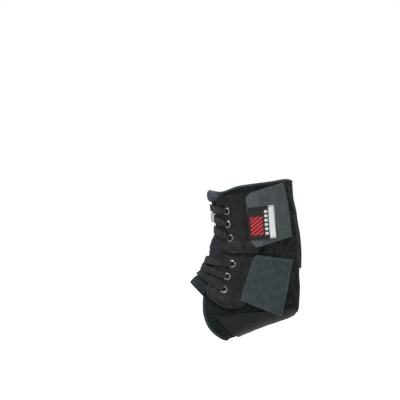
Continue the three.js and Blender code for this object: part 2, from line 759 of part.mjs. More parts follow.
function flap(table, lacing) {
  let solid = toSolid(wall(9, 9, (r, t) => flapPoint(table, r, t)));
  for (const row of lacing) {
    const radius = barrelRadius + clearance;
    const drill = new THREE.CylinderGeometry(radius, radius, 4 * flapThickness, 10).rotateX(halfTurn / 2);
    solid = solid.subtract(toSolid(stood(drill, eyeletPlace(row), flapTop - flapThickness / 2)));
  }
  return fromSolid(solid);
}

// Laces

// A flat lace in straight bars from side to side: in at the near top, over, under the far flap, back over, under the
// near flap, over again and in at the far bottom
function lace(lacing, flapRows) {
  const places = lacing.map(eyeletPlace);
  const width = laceWidth / 2;
  const thick = laceThickness / 2;
  const pinch = (eyeletBore / 2 - clearance) / 2;
  const turnRadius = pinch * 1.6;
  const onTop = flapTop + 2 * clearance + eyeletFlange + thick;
  const below = clearance + thick;
  const diveStart = 4.4;
  const gathered = width * 0.85;

  // The open part of a bar, from the near flap to the far one
  const crossing = (k) => {
    const { v, a } = places[k];
    const middle = sectionAt('fz', lacing[k].middleZ);
    const reach = a - laceWidth / perTurn(v, a);
    const crossZ = (lacing[k].z + lacing[k].middleZ) / 2;
    const row = solve((r) => panelPoint(flapRows, r, 0).z - crossZ, 0, 1);
    const edge = panelPoint(flapRows, row, 0);
    const edgeShare = fromSide(edge.x, edge.z).a / a - clearance / perTurn(v, a);
    return skinFrames(14, (t) => {
      const at = lerp(reach, -reach, t);
      const share = Math.abs(at) / a;
      const overEdge = flapTop + 2.5 * clearance + thick;
      const outside = lerp(overEdge, onTop, smooth((share - edgeShare) * a / (reach - edgeShare * a)));
      const inside = lerp(lacing[k].standoff * laceThickness, overEdge, smooth(share / edgeShare));
      return {
        v: lerp(middle, v, share ** 1.4),
        a: at,
        height: share > edgeShare ? outside : inside,
        halfWidth: width,
        halfUp: thick,
      };
    });
  };

  // From the bar outside, down through the eyelet, to the link under the flap
  const dive = (place, barWay, linkWay) => {
    const { foot: base, up } = place;
    const heading = barWay.clone().negate();
    const frames = [];
    const put = (way, sideways, height, normal, ahead, halfWidth, halfUp) => frames.push({
      p: base.clone().addScaledVector(way, sideways).addScaledVector(up, height),
      up: normal,
      across: normal.clone().cross(ahead).normalize(),
      halfWidth,
      halfUp,
    });
    const blend = (p, q, turn) => p.clone().multiplyScalar(Math.cos(turn)).addScaledVector(q, Math.sin(turn));
    const down = up.clone().negate();
    put(barWay, diveStart, onTop, up, heading, gathered, thick);
    for (const turn of [0, 0.8, halfTurn / 2]) {
      const narrow = lerp(1.4, 1, Math.sin(turn));
      put(barWay, turnRadius * (1 - Math.sin(turn)), onTop - turnRadius * (1 - Math.cos(turn)),
        blend(up, heading, turn), blend(heading, down, turn), pinch * narrow, pinch * lerp(0.8, 1, Math.sin(turn)));
    }
    for (const turn of [0, 0.8, halfTurn / 2]) {
      const narrow = lerp(1, 1.4, Math.sin(turn));
      put(linkWay, turnRadius * (1 - Math.cos(turn)), below + turnRadius * (1 - Math.sin(turn)),
        blend(linkWay, up, turn), blend(down, linkWay, turn), pinch * narrow, lerp(pinch, thick, Math.sin(turn)));
    }
    return frames;
  };

  const flipped = (frames) => frames.map((f) => {
    const flip = (p) => new THREE.Vector3(p.x, -p.y, p.z);
    return { ...f, p: flip(f.p), up: flip(f.up), across: flip(f.across).negate() };
  });
  const backwards = (frames) => frames.slice().reverse().map((f) => ({ ...f, across: f.across.clone().negate() }));
  const levelWay = (place, target) => {
    const way = target.clone().sub(place.foot);
    return way.addScaledVector(place.up, -way.dot(place.up)).normalize();
  };
  const tailWay = (place) => levelWay(place, skin(place.v, place.a + 0.2));

  // One bar with its dives, from inside the near flap to inside the far flap
  const bar = (k, nearWay, farWay) => {
    const open = crossing(k);
    const barWay = levelWay(places[k], open[0].p);
    return [
      ...backwards(dive(places[k], barWay, nearWay)),
      ...open,
      ...flipped(dive(places[k], barWay, farWay)),
    ];
  };
  // Middle of the link from one eyelet to the next, on the near side
  const link = (k) => {
    const v = (places[k].v + places[k + 1].v) / 2;
    const a = (places[k].a + places[k + 1].a) / 2;
    const up = skinNormal(v, a);
    const ahead = places[k + 1].foot.clone().sub(places[k].foot).normalize();
    const across = up.clone().cross(ahead).normalize();
    return [{ p: offSkin(v, a, below), up, across, halfWidth: width, halfUp: thick }];
  };
  const tail = (k) => {
    const { v, a } = places[k];
    return [0.6, 1].map((share) => {
      const at = a + laceTuckedEnd * share / perTurn(v, a);
      const up = skinNormal(v, at);
      const across = up.clone().cross(tailWay(places[k])).normalize();
      return { p: offSkin(v, at, below), up, across, halfWidth: width, halfUp: thick };
    });
  };
  const linkWay = (from, to) => levelWay(places[from], places[to].foot);

  return band([
    ...backwards(tail(0)),
    ...bar(0, tailWay(places[0]), linkWay(0, 1)),
    ...flipped(link(0)),
    ...backwards(bar(1, linkWay(1, 2), linkWay(1, 0))),
    ...link(1),
    ...bar(2, linkWay(2, 1), tailWay(places[2])),
    ...flipped(tail(2)),
  ], 4);
}

// Assembly

const finish = (color, roughness, metalness = 0) => new THREE.MeshStandardMaterial({ color, roughness, metalness });
const neoprene = finish(0x16191b, 0.9);
const stretch = finish(0x2a3340, 0.85);
const bindingTape = finish(0x1b2425, 0.8);
const vinyl = finish(0x282523, 0.6);
const smoothVinyl = finish(0x1d2021, 0.5);
const hookTape = finish(0x474e4e, 0.85);
const wovenPatch = finish(0x121212, 0.6);
const metal = finish(0x8b8b88, 0.35, 1);
const laceCloth = finish(0x232321, 0.8);

const brace = new THREE.Group();

function one(name, geometry, material) {
  const mesh = new THREE.Mesh(geometry, material);
  mesh.name = name;
  brace.add(mesh);
}

function pair(name, geometry, material) {
  one(`${name}_near`, geometry, material);
  one(`${name}_far`, mirrored(geometry), material);
}

pair('quarter', quarter(), neoprene);
one('back_panel', backPanel(), neoprene);
one('tongue', tongue(), stretch);
one('top_binding', topBinding(), bindingTape);
one('heel_binding', heelBinding(), bindingTape);
one('heel_top_binding', heelTopBinding(), bindingTape);
one('foot_binding', footBinding(), bindingTape);
one('tongue_binding', tongueBinding(), stretch);
one('stirrup', stirrup(), smoothVinyl);
pair('flap_upper', flap(upperFlapRows, upperLacing), vinyl);
pair('flap_lower', flap(lowerFlapRows, lowerLacing), vinyl);
pair('strap_upper', strap(upperStrapRows, upperFlapRows, overSkin), hookTape);
pair('strap_lower', strap(lowerStrapRows, lowerFlapRows, overStirrup), hookTape);
one('label', label(), wovenPatch);
one('lace_upper', lace(upperLacing, upperFlapRows), laceCloth);
one('lace_lower', lace(lowerLacing, lowerFlapRows), laceCloth);

for (const [level, lacing] of [['upper', upperLacing], ['lower', lowerLacing]]) {
  lacing.forEach((row, k) => {
    const ring = eyelet(eyeletPlace(row));
    one(`eyelet_${level}_near_${k + 1}`, ring, metal);
    one(`eyelet_${level}_far_${k + 1}`, mirrored(ring), metal);
  });
}

export default brace;
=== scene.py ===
"""Looks of a laced ankle brace in its worn form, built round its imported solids."""
import math

import bpy
import numpy as np
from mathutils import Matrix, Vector
from mathutils.bvhtree import BVHTree


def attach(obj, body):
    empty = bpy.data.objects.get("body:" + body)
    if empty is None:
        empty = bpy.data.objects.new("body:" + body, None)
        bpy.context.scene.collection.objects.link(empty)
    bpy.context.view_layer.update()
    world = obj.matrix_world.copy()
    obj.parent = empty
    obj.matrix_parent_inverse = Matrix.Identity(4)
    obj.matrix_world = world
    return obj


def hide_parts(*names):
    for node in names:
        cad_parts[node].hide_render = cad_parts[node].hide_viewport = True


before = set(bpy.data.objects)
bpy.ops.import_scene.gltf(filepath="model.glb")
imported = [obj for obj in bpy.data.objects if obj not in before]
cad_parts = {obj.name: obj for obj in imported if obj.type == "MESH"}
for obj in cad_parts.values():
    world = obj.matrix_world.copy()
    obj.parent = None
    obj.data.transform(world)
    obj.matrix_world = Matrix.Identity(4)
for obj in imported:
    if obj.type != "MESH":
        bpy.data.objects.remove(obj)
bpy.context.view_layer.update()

MM = 0.001
MM_PER_METRE = 1000.0
HALF_TURN = math.pi
FULL_TURN = 2 * HALF_TURN
OTHER_SIDE = np.array((1, -1, 1))

# Camera
view_distance = 1.5
view_width = 0.448
camera_data = bpy.data.cameras.new("camera")
camera_data.sensor_width = 36
camera_data.lens = camera_data.sensor_width * view_distance / view_width
camera = bpy.data.objects.new("camera", camera_data)
camera.location = (-0.0627, -view_distance, 0.0694)
camera.rotation_euler = (math.radians(90), 0, 0)
bpy.context.scene.collection.objects.link(camera)
bpy.context.scene.camera = camera

# Overall size and thicknesses in millimetres
BRACE_DEPTH = 128
BRACE_HEIGHT = 184
BRACE_HALF_WIDTH = 40
NEOPRENE = 3.5
TONGUE = 3
FLAP = 1.8
STRAP = 1.3
STIRRUP = 1.4
PATCH = 0.6
BINDING_WIDTH = 3.6
BINDING_THICKNESS = 5.2
HEEL_BINDING_WIDTH = 4.4
TAPE_WIDTH = 8
TAPE_THICKNESS = 4
LIP_HEIGHT = 11.5
LIP_TILT = 2.6
LIP_DROP = 0.6
SECTION_PITCH = 19
LIP_THICKNESS = 8
LIP_STANDOFF = 5
LACE_WIDTH = 7
LACE_FULLNESS = 1.12
LACE_THICKNESS = 1.2
LACE_TUCKED_END = 6
LACE_SHOULDER = 4.4
STRAP_REST = 3
STRAP_RAMP = 9
LAP_RAMP = 6
LAP_MARGIN = 2
FOLD_RISE = 0.45
SEAM_DEPTH = 0.3
ROOT_DEPTH = 0.45
PUCKER_HEIGHT = 0.3
DIMPLE_DEPTH = 1.5
KEEPER_LENGTH = 14.5
EDGE_SEAM = 2.9
STRAP_SEAM = 1.8
PATCH_SEAM = 1.1
STITCH_PITCH = 3.0
EYELET_BORE = 4.2
EYELET_OUTER = 8.6
EYELET_WALL = 0.6
EYELET_FLANGE = 0.8
CLEARANCE = 0.3

# Sections of the skin: front x, front z, rear x, rear z, wide, lean, square, as shares of the overall size
SECTIONS = np.array([
    (-0.380, 0.450, 0.298, 0.554, 0.95, 0.05, 0.00),
    (-0.359, 0.347, 0.328, 0.402, 0.93, 0.05, 0.00),
    (-0.343, 0.255, 0.363, 0.268, 0.90, 0.08, 0.00),
    (-0.345, 0.170, 0.385, 0.158, 0.89, 0.10, 0.00),
    (-0.372, 0.094, 0.398, 0.061, 0.90, 0.12, 0.00),
    (-0.402, 0.036, 0.398, -0.037, 0.93, 0.12, 0.00),
    (-0.433, -0.018, 0.420, -0.146, 0.94, 0.08, 0.00),
    (-0.464, -0.064, 0.398, -0.259, 0.93, 0.00, 0.05),
    (-0.507, -0.088, 0.299, -0.325, 0.93, -0.10, 0.10),
    (-0.547, -0.113, 0.071, -0.380, 0.95, -0.16, 0.15),
    (-0.582, -0.137, -0.171, -0.448, 0.97, -0.18, 0.20),
    (-0.634, -0.174, -0.300, -0.486, 1.00, -0.18, 0.20),
    (-0.678, -0.204, -0.378, -0.519, 1.01, -0.18, 0.20),
])

# Edges and seams from the side: x, z
RIM_POINTS = [
    (-0.411, 0.398), (-0.363, 0.407), (-0.285, 0.421), (-0.183, 0.448), (-0.072, 0.461),
    (0.109, 0.478), (0.243, 0.494), (0.306, 0.486),
]
FRONT_SEAM_POINTS = [
    (-0.284, 0.431), (-0.275, 0.347), (-0.275, 0.139), (-0.271, 0.067), (-0.276, -0.010),
    (-0.323, -0.093), (-0.387, -0.156), (-0.451, -0.190),
]
REAR_SEAM_POINTS = [
    (0.266, 0.502), (0.296, 0.389), (0.324, 0.305), (0.347, 0.197), (0.361, 0.094),
    (0.363, 0.004), (0.366, -0.104), (0.366, -0.194), (0.364, -0.249), (0.356, -0.291),
    (0.355, -0.317),
]
TONGUE_FOOT_POINTS = [
    (-0.545, -0.115), (-0.496, -0.143), (-0.444, -0.178),
]
FOOT_POINTS = [
    (-0.444, -0.201),
    (-0.454, -0.242),
    (-0.451, -0.294),
    (-0.422, -0.356),
    (-0.375, -0.402),
    (-0.311, -0.442),
    (-0.245, -0.470),
]
HEEL_TOP_POINT = (0.411, -0.028)

# Swell of the padded tongue: height on the front line, outward swell in tongue thicknesses
TONGUE_SWELL = [
    (0.347, 1.1), (0.272, 0.9), (0.230, 0.6), (0.190, 0.5), (0.140, 1.3),
    (0.080, 1.3), (0.030, 0.4), (-0.060, 0.1), (-0.100, 0.8), (-0.137, 0.7),
]

# Panels over the skin, cut by cut from the top: front x, front z, rear x, rear z
UPPER_FLAP = [
    (-0.275, 0.405, -0.004, 0.433),
    (-0.302, 0.392, 0.001, 0.413),
    (-0.319, 0.362, 0.005, 0.377),
    (-0.323, 0.305, 0.009, 0.312),
    (-0.323, 0.209, 0.013, 0.211),
    (-0.321, 0.138, 0.013, 0.134),
    (-0.307, 0.099, 0.012, 0.095),
    (-0.278, 0.072, 0.009, 0.076),
    (-0.223, 0.054, -0.004, 0.060),
]
LOWER_FLAP = [
    (-0.280, 0.087, -0.009, 0.089),
    (-0.306, 0.044, 0.013, 0.045),
    (-0.353, -0.028, 0.004, -0.026),
    (-0.396, -0.105, -0.030, -0.103),
    (-0.426, -0.165, -0.064, -0.174),
    (-0.420, -0.200, -0.085, -0.215),
    (-0.379, -0.229, -0.102, -0.242),
    (-0.319, -0.253, -0.128, -0.259),
    (-0.259, -0.268, -0.166, -0.267),
]
UPPER_STRAP = [
    (-0.058, 0.423, 0.219, 0.482),
    (-0.098, 0.389, 0.231, 0.449),
    (-0.085, 0.330, 0.257, 0.365),
    (-0.073, 0.229, 0.277, 0.282),
    (-0.060, 0.140, 0.289, 0.210),
    (-0.013, 0.093, 0.293, 0.158),
]
LOWER_STRAP = [
    (-0.009, 0.050, 0.292, 0.022),
    (-0.043, 0.022, 0.284, -0.011),
    (-0.073, -0.043, 0.269, -0.073),
    (-0.111, -0.132, 0.248, -0.160),
    (-0.141, -0.200, 0.218, -0.258),
    (-0.147, -0.223, 0.204, -0.312),
]
LABEL = [
    (-0.077, 0.332, 0.136, 0.348),
    (-0.067, 0.139, 0.166, 0.153),
]
# The stirrup from its rear corner to its front one: top x, top z, sole z
STIRRUP_ROWS = [
    (0.307, -0.258, -0.324),
    (0.218, -0.269, -0.343),
    (0.011, -0.286, -0.386),
    (-0.144, -0.297, -0.415),
    (-0.263, -0.312, -0.430),
    (-0.363, -0.317, -0.439),
]
# Eyelets from the top: x, z, the lace's height on the front line, and its stand-off there in lace thicknesses
UPPER_LACING = [
    (-0.244, 0.312, 0.335, 4.6),
    (-0.235, 0.233, 0.272, 3.6),
    (-0.217, 0.148, 0.204, 2.6),
]
LOWER_LACING = [
    (-0.205, -0.003, 0.008, 3.4),
    (-0.247, -0.078, -0.034, 3.4),
    (-0.281, -0.160, -0.074, 3.4),
]

# Places from the side, x, z: top and foot of the strap root's seam, the strap's dent, the lower bar tack
ROOT_SEAM = (-0.112, 0.327), (-0.076, 0.123)
DIMPLE_PLACE = (0.058, 0.372)
LOWER_TACK = (-0.100, 0.100)

# Shares of a panel's width where a flap comes down behind its eyelets, and where the strap's step fades
UPPER_FLAP_RAISED = 0.53
LOWER_FLAP_RAISED = 0.56
FLAP_RAMP = 0.15
STEP_END = 0.06
STEP_FADE = 0.03

# Overlap of walls and bindings, in sections
OVERLAP = 0.02

# Angles: half the gap at a seam, the rim's rounding behind, and the reach of the lip and the lace keeper
SEAM_GAP = 0.15 / 36
REAR_ROUNDING = 0.25
LIP_REACH = 0.25
LIP_FADE = 0.6
KEEPER_REACH = 0.34

LACE_ROOM = LACE_THICKNESS + 2 * CLEARANCE
FLAP_TOP = LACE_ROOM + FLAP
OVER_FLAP = 2 * CLEARANCE + FLAP
STIRRUP_REST = 2 * CLEARANCE
OVER_STIRRUP = STIRRUP_REST + STIRRUP + 2 * CLEARANCE
WALL_MIDDLE = -NEOPRENE / 2
LAST_SECTION = len(SECTIONS) - 1


# Numbers and curves

def lerp(a, b, t):
    return a + (b - a) * t


def smooth(x):
    t = np.clip(x, 0, 1)
    return t * t * (3 - 2 * t)


def unit(vectors):
    return vectors / np.linalg.norm(vectors, axis=-1, keepdims=True)


def row_at(column, position):
    """Smooth curve through a table's column, at row numbers that need not be whole."""
    column = np.asarray(column, float)
    last = len(column) - 1
    longer = np.concatenate(([2 * column[0] - column[1]], column, [2 * column[-1] - column[-2]]))
    position = np.asarray(position, float)
    i = np.clip(np.floor(position).astype(int), 0, last - 1)
    t = position - i
    p0, p1, p2, p3 = (longer[i + k] for k in range(4))
    curve = p1 + t / 2 * (p2 - p0 + t * (2 * p0 - 5 * p1 + 4 * p2 - p3 + t * (3 * (p1 - p2) + p3 - p0)))
    return np.where((position < 0) | (position > last), p1 + (p2 - p1) * t, curve)


def solve(f, low, high):
    """Where f changes sign between low and high, for whole arrays."""
    sign = np.where(f(low) >= 0, 1, -1)
    for _ in range(34):
        middle = (low + high) / 2
        same = np.sign(f(middle)) == sign
        low, high = np.where(same, middle, low), np.where(same, high, middle)
    return (low + high) / 2


def columns_at(rows, position):
    return [row_at(column, position) for column in np.array(rows).T]


# The skin, the outer face of the neoprene

def section_ends(v):
    front_x, front_z, rear_x, rear_z = (row_at(SECTIONS[:, k], v) for k in range(4))
    return front_x * BRACE_DEPTH, front_z * BRACE_HEIGHT, rear_x * BRACE_DEPTH, rear_z * BRACE_HEIGHT


def skin(v, a):
    """Point of the skin at section v and angle a: 0 in front, half a turn behind, the near side between."""
    fx, fz, rx, rz = section_ends(v)
    wide, lean, square = (row_at(SECTIONS[:, k], v) for k in (4, 5, 6))
    along = np.cos(a) * (1 + square * np.sin(a) ** 2)
    across = np.sin(a) * (1 + square * np.cos(a) ** 2)
    return np.stack([
        (fx + rx) / 2 - (rx - fx) / 2 * along,
        -wide * BRACE_HALF_WIDTH * across * (1 + lean * along),
        (fz + rz) / 2 - (rz - fz) / 2 * along,
    ], axis=-1)


def skin_normal(v, a):
    step = 0.02
    down = skin(v + step, a) - skin(v - step, a)
    around = skin(v, a + step) - skin(v, a - step)
    return unit(np.cross(down, around))


def unevenness(p):
    """Gentle unevenness of worn cloth, in millimetres."""
    x, y, z = p[..., 0], p[..., 1], p[..., 2]
    broad = np.sin(x / 9 + z / 13) * np.sin(z / 7 - x / 15 + 1)
    fine = np.sin(z / 4.1 + x / 6.5 + y / 8) * np.sin(x / 5.2 - y / 11)
    return 0.4 * broad + 0.18 * fine


def off_skin(v, a, height):
    p = skin(v, a)
    return p + skin_normal(v, a) * (height + unevenness(p))[..., None]


def per_turn(v, a):
    return np.linalg.norm(skin(v, a + 0.05) - skin(v, a - 0.05), axis=-1) / 0.1


def section_where(f, shape=()):
    """The section where f changes sign."""
    return solve(f, np.full(shape, -1.0), np.full(shape, LAST_SECTION + 1.0))


def from_side(x, z):
    """Section and angle of points seen from the near side, given as shares."""
    x, z = np.asarray(x, float) * BRACE_DEPTH, np.asarray(z, float) * BRACE_HEIGHT

    def beside(v):
        fx, fz, rx, rz = section_ends(v)
        return (x - fx) * (rz - fz) - (z - fz) * (rx - fx)

    v = section_where(beside, x.shape)
    fx, fz, rx, rz = section_ends(v)
    share = ((x - fx) * (rx - fx) + (z - fz) * (rz - fz)) / ((rx - fx) ** 2 + (rz - fz) ** 2)
    along = np.clip(1 - 2 * share, -1, 1)
    square = row_at(SECTIONS[:, 6], v)
    a = solve(lambda t: np.cos(t) * (1 + square * np.sin(t) ** 2) - along,
              np.zeros(x.shape), np.full(x.shape, HALF_TURN))
    return v, a


def in_mm(x, z):
    """Points given as shares, in millimetres from the side."""
    return np.stack([x * BRACE_DEPTH, z * BRACE_HEIGHT], -1)


def on_skin(line):
    """Section and angle of points in millimetres from the side."""
    return from_side(*(line / (BRACE_DEPTH, BRACE_HEIGHT)).T)


def edge_through(points, steps=90):
    return from_side(*columns_at(points, np.linspace(0, len(points) - 1, steps + 1)))


def reader(keys, values):
    """Values of an edge read by one of its two coordinates."""
    order = np.argsort(keys)
    return lambda at: np.interp(at, keys[order], values[order])


def near_angle(a):
    return np.abs(np.arctan2(np.sin(a), np.cos(a)))


rim_v, rim_a = edge_through(RIM_POINTS)
front_v, front_a = edge_through(FRONT_SEAM_POINTS)
rear_v, rear_a = edge_through(REAR_SEAM_POINTS)
tongue_v, tongue_a = edge_through(TONGUE_FOOT_POINTS)
foot_v, foot_a = edge_through(FOOT_POINTS)
rim = reader(rim_a, rim_v)
foot = reader(foot_a, foot_v)
tongue_foot = reader(tongue_a, tongue_v)
front_seam = reader(front_v, front_a)
rear_seam = reader(rear_v, rear_a)
heel_top = float(from_side(*HEEL_TOP_POINT)[0])
heel_bottom = rear_v.max()


def lip_share(a):
    return 1 - smooth((near_angle(a) - LIP_REACH) / LIP_FADE)


# Meshes

def triangles_turned_out(points, faces):
    """True when the faces of a closed shell point outwards."""
    a, b, c, d = (points[faces[:, k]] for k in range(4))
    return (np.einsum("ij,ij->i", a, np.cross(b, c)) + np.einsum("ij,ij->i", a, np.cross(c, d))).sum() > 0


def make_mesh(name, points, faces, uvs, caps=()):
    """Mesh from millimetre points, quads with a uv for each corner, and flat end caps."""
    if not triangles_turned_out(points, faces):
        faces, uvs = faces[:, ::-1], uvs[:, ::-1]
        caps = [cap[::-1] for cap in caps]
    used = np.unique(faces)
    renumber = np.zeros(len(points), int)
    renumber[used] = np.arange(len(used))
    mesh = bpy.data.meshes.new(name)
    mesh.from_pydata((points[used] * MM).tolist(), [],
                     renumber[faces].tolist() + [renumber[np.array(cap)].tolist() for cap in caps])
    layer = mesh.uv_layers.new(name="flat cloth")
    flat = np.concatenate([uvs.reshape(-1, 2)] + [np.zeros((len(cap), 2)) for cap in caps]) * MM
    layer.data.foreach_set("uv", flat.ravel())
    mesh.polygons.foreach_set("use_smooth", [True] * len(mesh.polygons))
    mesh.update()
    return mesh


def put(name, data):
    thing = bpy.data.objects.new(name, data)
    bpy.context.scene.collection.objects.link(thing)
    return thing


def place(mesh, finish):
    mesh.materials.append(finish)
    return put(mesh.name, mesh)


def applied(piece):
    """The piece with its modifiers worked into its mesh."""
    graph = bpy.context.evaluated_depsgraph_get()
    mesh = bpy.data.meshes.new_from_object(piece.evaluated_get(graph))
    piece.modifiers.clear()
    piece.data = mesh
    return piece


def soften_edges(piece, width, segments=2):
    bevel = piece.modifiers.new("soft edge", "BEVEL")
    bevel.limit_method = "ANGLE"
    bevel.angle_limit = math.radians(50)
    bevel.width = width * MM
    bevel.segments = segments
    return applied(piece)


def arc_lengths(points, axis):
    steps = np.linalg.norm(np.diff(points, axis=axis), axis=-1)
    lengths = np.concatenate([np.zeros_like(np.take(steps, [0], axis)), np.cumsum(steps, axis)], axis)
    return lengths - np.take(lengths, [lengths.shape[axis] // 2], axis)


def run_length(line):
    """Distance along a line at each of its points."""
    return np.concatenate([[0], np.cumsum(np.linalg.norm(np.diff(line, axis=0), axis=1))])


def panel_size(points):
    """Width, length and area of a grid of points, in metres."""
    across = arc_lengths(points, 1)
    down = arc_lengths(points, 0)
    one = points[1:, 1:] - points[:-1, :-1]
    other = points[1:, :-1] - points[:-1, 1:]
    area = np.linalg.norm(np.cross(one, other), axis=-1).sum() / 2
    return (np.ptp(across, axis=1).max() * MM, np.ptp(down, axis=0).max() * MM, area * MM * MM)


def wall(name, v, a, inner, outer, finish, keep=None, edge=0.4):
    """A closed wall over a grid of the skin. keep leaves out cells for holes."""
    outside, inside = off_skin(v, a, outer), off_skin(v, a, inner)
    rows, columns = v.shape
    count = rows * columns
    low = np.arange(count).reshape(rows, columns)
    top = low + count
    uv = np.stack([arc_lengths(outside, 1), arc_lengths(outside, 0)], -1).reshape(-1, 2)
    uv = np.concatenate([uv, uv])
    if keep is None:
        keep = np.ones((rows - 1, columns - 1), bool)
    ringed = np.pad(keep, 1)
    i, j = np.nonzero(keep)
    faces = [np.stack([top[i, j], top[i + 1, j], top[i + 1, j + 1], top[i, j + 1]], 1),
             np.stack([low[i, j], low[i, j + 1], low[i + 1, j + 1], low[i + 1, j]], 1)]
    for di, dj, first, second in ((0, -1, (0, 0), (1, 0)), (0, 1, (1, 1), (0, 1)),
                                  (-1, 0, (0, 1), (0, 0)), (1, 0, (1, 0), (1, 1))):
        i, j = np.nonzero(keep & ~ringed[1 + di:rows + di, 1 + dj:columns + dj])
        p, q = (i + first[0], j + first[1]), (i + second[0], j + second[1])
        faces.append(np.stack([low[p], low[q], top[q], top[p]], 1))
    faces = np.concatenate(faces)
    piece = place(make_mesh(name, np.concatenate([inside.reshape(-1, 3), outside.reshape(-1, 3)]),
                            faces, uv[faces]), finish)
    if edge:
        soften_edges(piece, edge)
    piece["cut"] = panel_size(outside)
    return piece


def tube_faces(count, corners, ring):
    """Quads of a tube of count rings with that many corners, row by row along it."""
    i = np.arange(count if ring else count - 1)
    here, after = i * corners, (i + 1) % count * corners
    rows = [(k, (k + 1) % corners) for k in range(corners)]
    return np.concatenate([np.stack([here + k, after + k, after + m, here + m], 1) for k, m in rows])


def sweep(name, points, up, half_width, half_up, finish, ring=False, corners=16, boxy=1.0):
    """A closed band along points. boxy goes from 1, an ellipse, towards 0, a flat tape."""
    count = len(points)
    if ring:
        ahead = np.roll(points, -1, 0) - np.roll(points, 1, 0)
    else:
        ahead = np.gradient(points, axis=0)
    ahead = unit(ahead)
    across = unit(np.cross(up, ahead))
    up = unit(np.cross(ahead, across))
    turn = np.linspace(0, FULL_TURN, corners, endpoint=False)
    c = np.sign(np.cos(turn)) * np.abs(np.cos(turn)) ** boxy
    s = np.sign(np.sin(turn)) * np.abs(np.sin(turn)) ** boxy
    half_width = np.broadcast_to(half_width, (count,))[:, None]
    half_up = np.broadcast_to(half_up, (count,))[:, None]
    shell = (points[:, None] + across[:, None] * (c * half_width)[..., None]
             + up[:, None] * (s * half_up)[..., None])
    length = run_length(points)
    whole = length[-1] + np.linalg.norm(points[0] - points[-1])
    start = length if ring else length[:-1]
    end = np.append(length[1:], whole)[:len(start)]
    uvs = []
    for k in range(corners):
        sides = [(start, k), (end, k), (end, (k + 1) % corners), (start, (k + 1) % corners)]
        uvs.append(np.stack([np.stack([u, c[w] * half_width[:len(start), 0]], -1) for u, w in sides], 1))
    caps = [] if ring else [list(range(corners)), list(range((count - 1) * corners, count * corners))[::-1]]
    faces = tube_faces(count, corners, ring)
    return place(make_mesh(name, shell.reshape(-1, 3), faces, np.concatenate(uvs), caps), finish)


def skin_sweep(name, v, a, height, half_width, half_up, finish, **kind):
    return sweep(name, off_skin(v, a, height), skin_normal(v, a), half_width, half_up, finish, **kind)


# Nodes and finishes

def feed(tree, node, inputs):
    """Sets a node's inputs to values or to other nodes' outputs."""
    for key, value in inputs.items():
        if isinstance(value, bpy.types.NodeSocket):
            tree.links.new(value, node.inputs[key])
        else:
            node.inputs[key].default_value = value
    return node


def add(tree, kind, inputs=None, **settings):
    made = tree.nodes.new(kind)
    for name, value in settings.items():
        setattr(made, name, value)
    return feed(tree, made, inputs or {})


def calc(tree, operation, *values):
    return add(tree, "ShaderNodeMath", dict(enumerate(values)), operation=operation).outputs[0]


def times(tree, one, other):
    return calc(tree, "MULTIPLY", one, other)


def weighted(tree, one, share, other, rest):
    """one by its share plus other by the rest."""
    return calc(tree, "ADD", times(tree, one, share), times(tree, other, rest))


def mapped(tree, value, low=0.0, high=1.0, to_low=0.0, to_high=1.0, **settings):
    inputs = {0: value, 1: low, 2: high, 3: to_low, 4: to_high}
    return add(tree, "ShaderNodeMapRange", inputs, **settings).outputs[0]


def noise(tree, vector, per_metre, detail, roughness=0.5):
    return add(tree, "ShaderNodeTexNoise", {"Vector": vector, "Scale": per_metre, "Detail": detail,
                                            "Roughness": roughness}).outputs[0]


def effect(name, size, per_metre, build, result="Height"):
    """A shader node group. build(tree, vector, per_metre) gives its one value."""
    tree = bpy.data.node_groups.new(name, "ShaderNodeTree")
    socket = tree.interface.new_socket
    socket(name="Vector", in_out="INPUT", socket_type="NodeSocketVector")
    socket(name=size, in_out="INPUT", socket_type="NodeSocketFloat").default_value = per_metre
    socket(name=result, in_out="OUTPUT", socket_type="NodeSocketFloat")
    given, end = tree.nodes.new("NodeGroupInput").outputs, tree.nodes.new("NodeGroupOutput")
    tree.links.new(build(tree, given[0], given[1]), end.inputs[0])
    return tree


def scaled_parts(tree, vector, per_metre):
    scaled = add(tree, "ShaderNodeVectorMath", {0: vector, "Scale": per_metre}, operation="SCALE")
    return add(tree, "ShaderNodeSeparateXYZ", {0: scaled.outputs[0]}).outputs


def ridge(tree, x):
    return calc(tree, "ABSOLUTE", calc(tree, "SINE", times(tree, x, math.pi)))


def plain_weave(tree, vector, per_metre):
    x, y, _ = scaled_parts(tree, vector, per_metre)
    cell = calc(tree, "ADD", calc(tree, "FLOOR", x), calc(tree, "FLOOR", y))
    odd = times(tree, calc(tree, "FRACT", times(tree, cell, 0.5)), 2)
    return weighted(tree, ridge(tree, x), odd, ridge(tree, y), calc(tree, "SUBTRACT", 1, odd))


def wandering_ribs(bends, detail, reach, crosswise, share):
    """Ribs that wander by reach, with finer threads across them."""
    def build(tree, vector, per_metre):
        x, y, _ = scaled_parts(tree, vector, per_metre)
        wander = times(tree, noise(tree, vector, bends, detail), reach)
        rib = ridge(tree, calc(tree, "ADD", x, wander))
        return weighted(tree, rib, share, ridge(tree, times(tree, y, crosswise)), 1 - share)
    return build


def pebbled(tree, vector, per_metre):
    fine = add(tree, "ShaderNodeTexVoronoi", {"Vector": vector, "Scale": per_metre, "Smoothness": 0.6,
                                              "Randomness": 0.9}, feature="SMOOTH_F1")
    dome = calc(tree, "SUBTRACT", 1, times(tree, fine.outputs["Distance"], 1.3))
    return weighted(tree, dome, 0.7, noise(tree, vector, 260, 3), 0.5)


def looped(tree, vector, per_metre):
    tuft = add(tree, "ShaderNodeTexVoronoi", {"Vector": vector, "Scale": per_metre})
    loop = calc(tree, "SUBTRACT", 1, tuft.outputs["Distance"])
    return weighted(tree, loop, 0.6, noise(tree, vector, 1900, 3), 0.7)


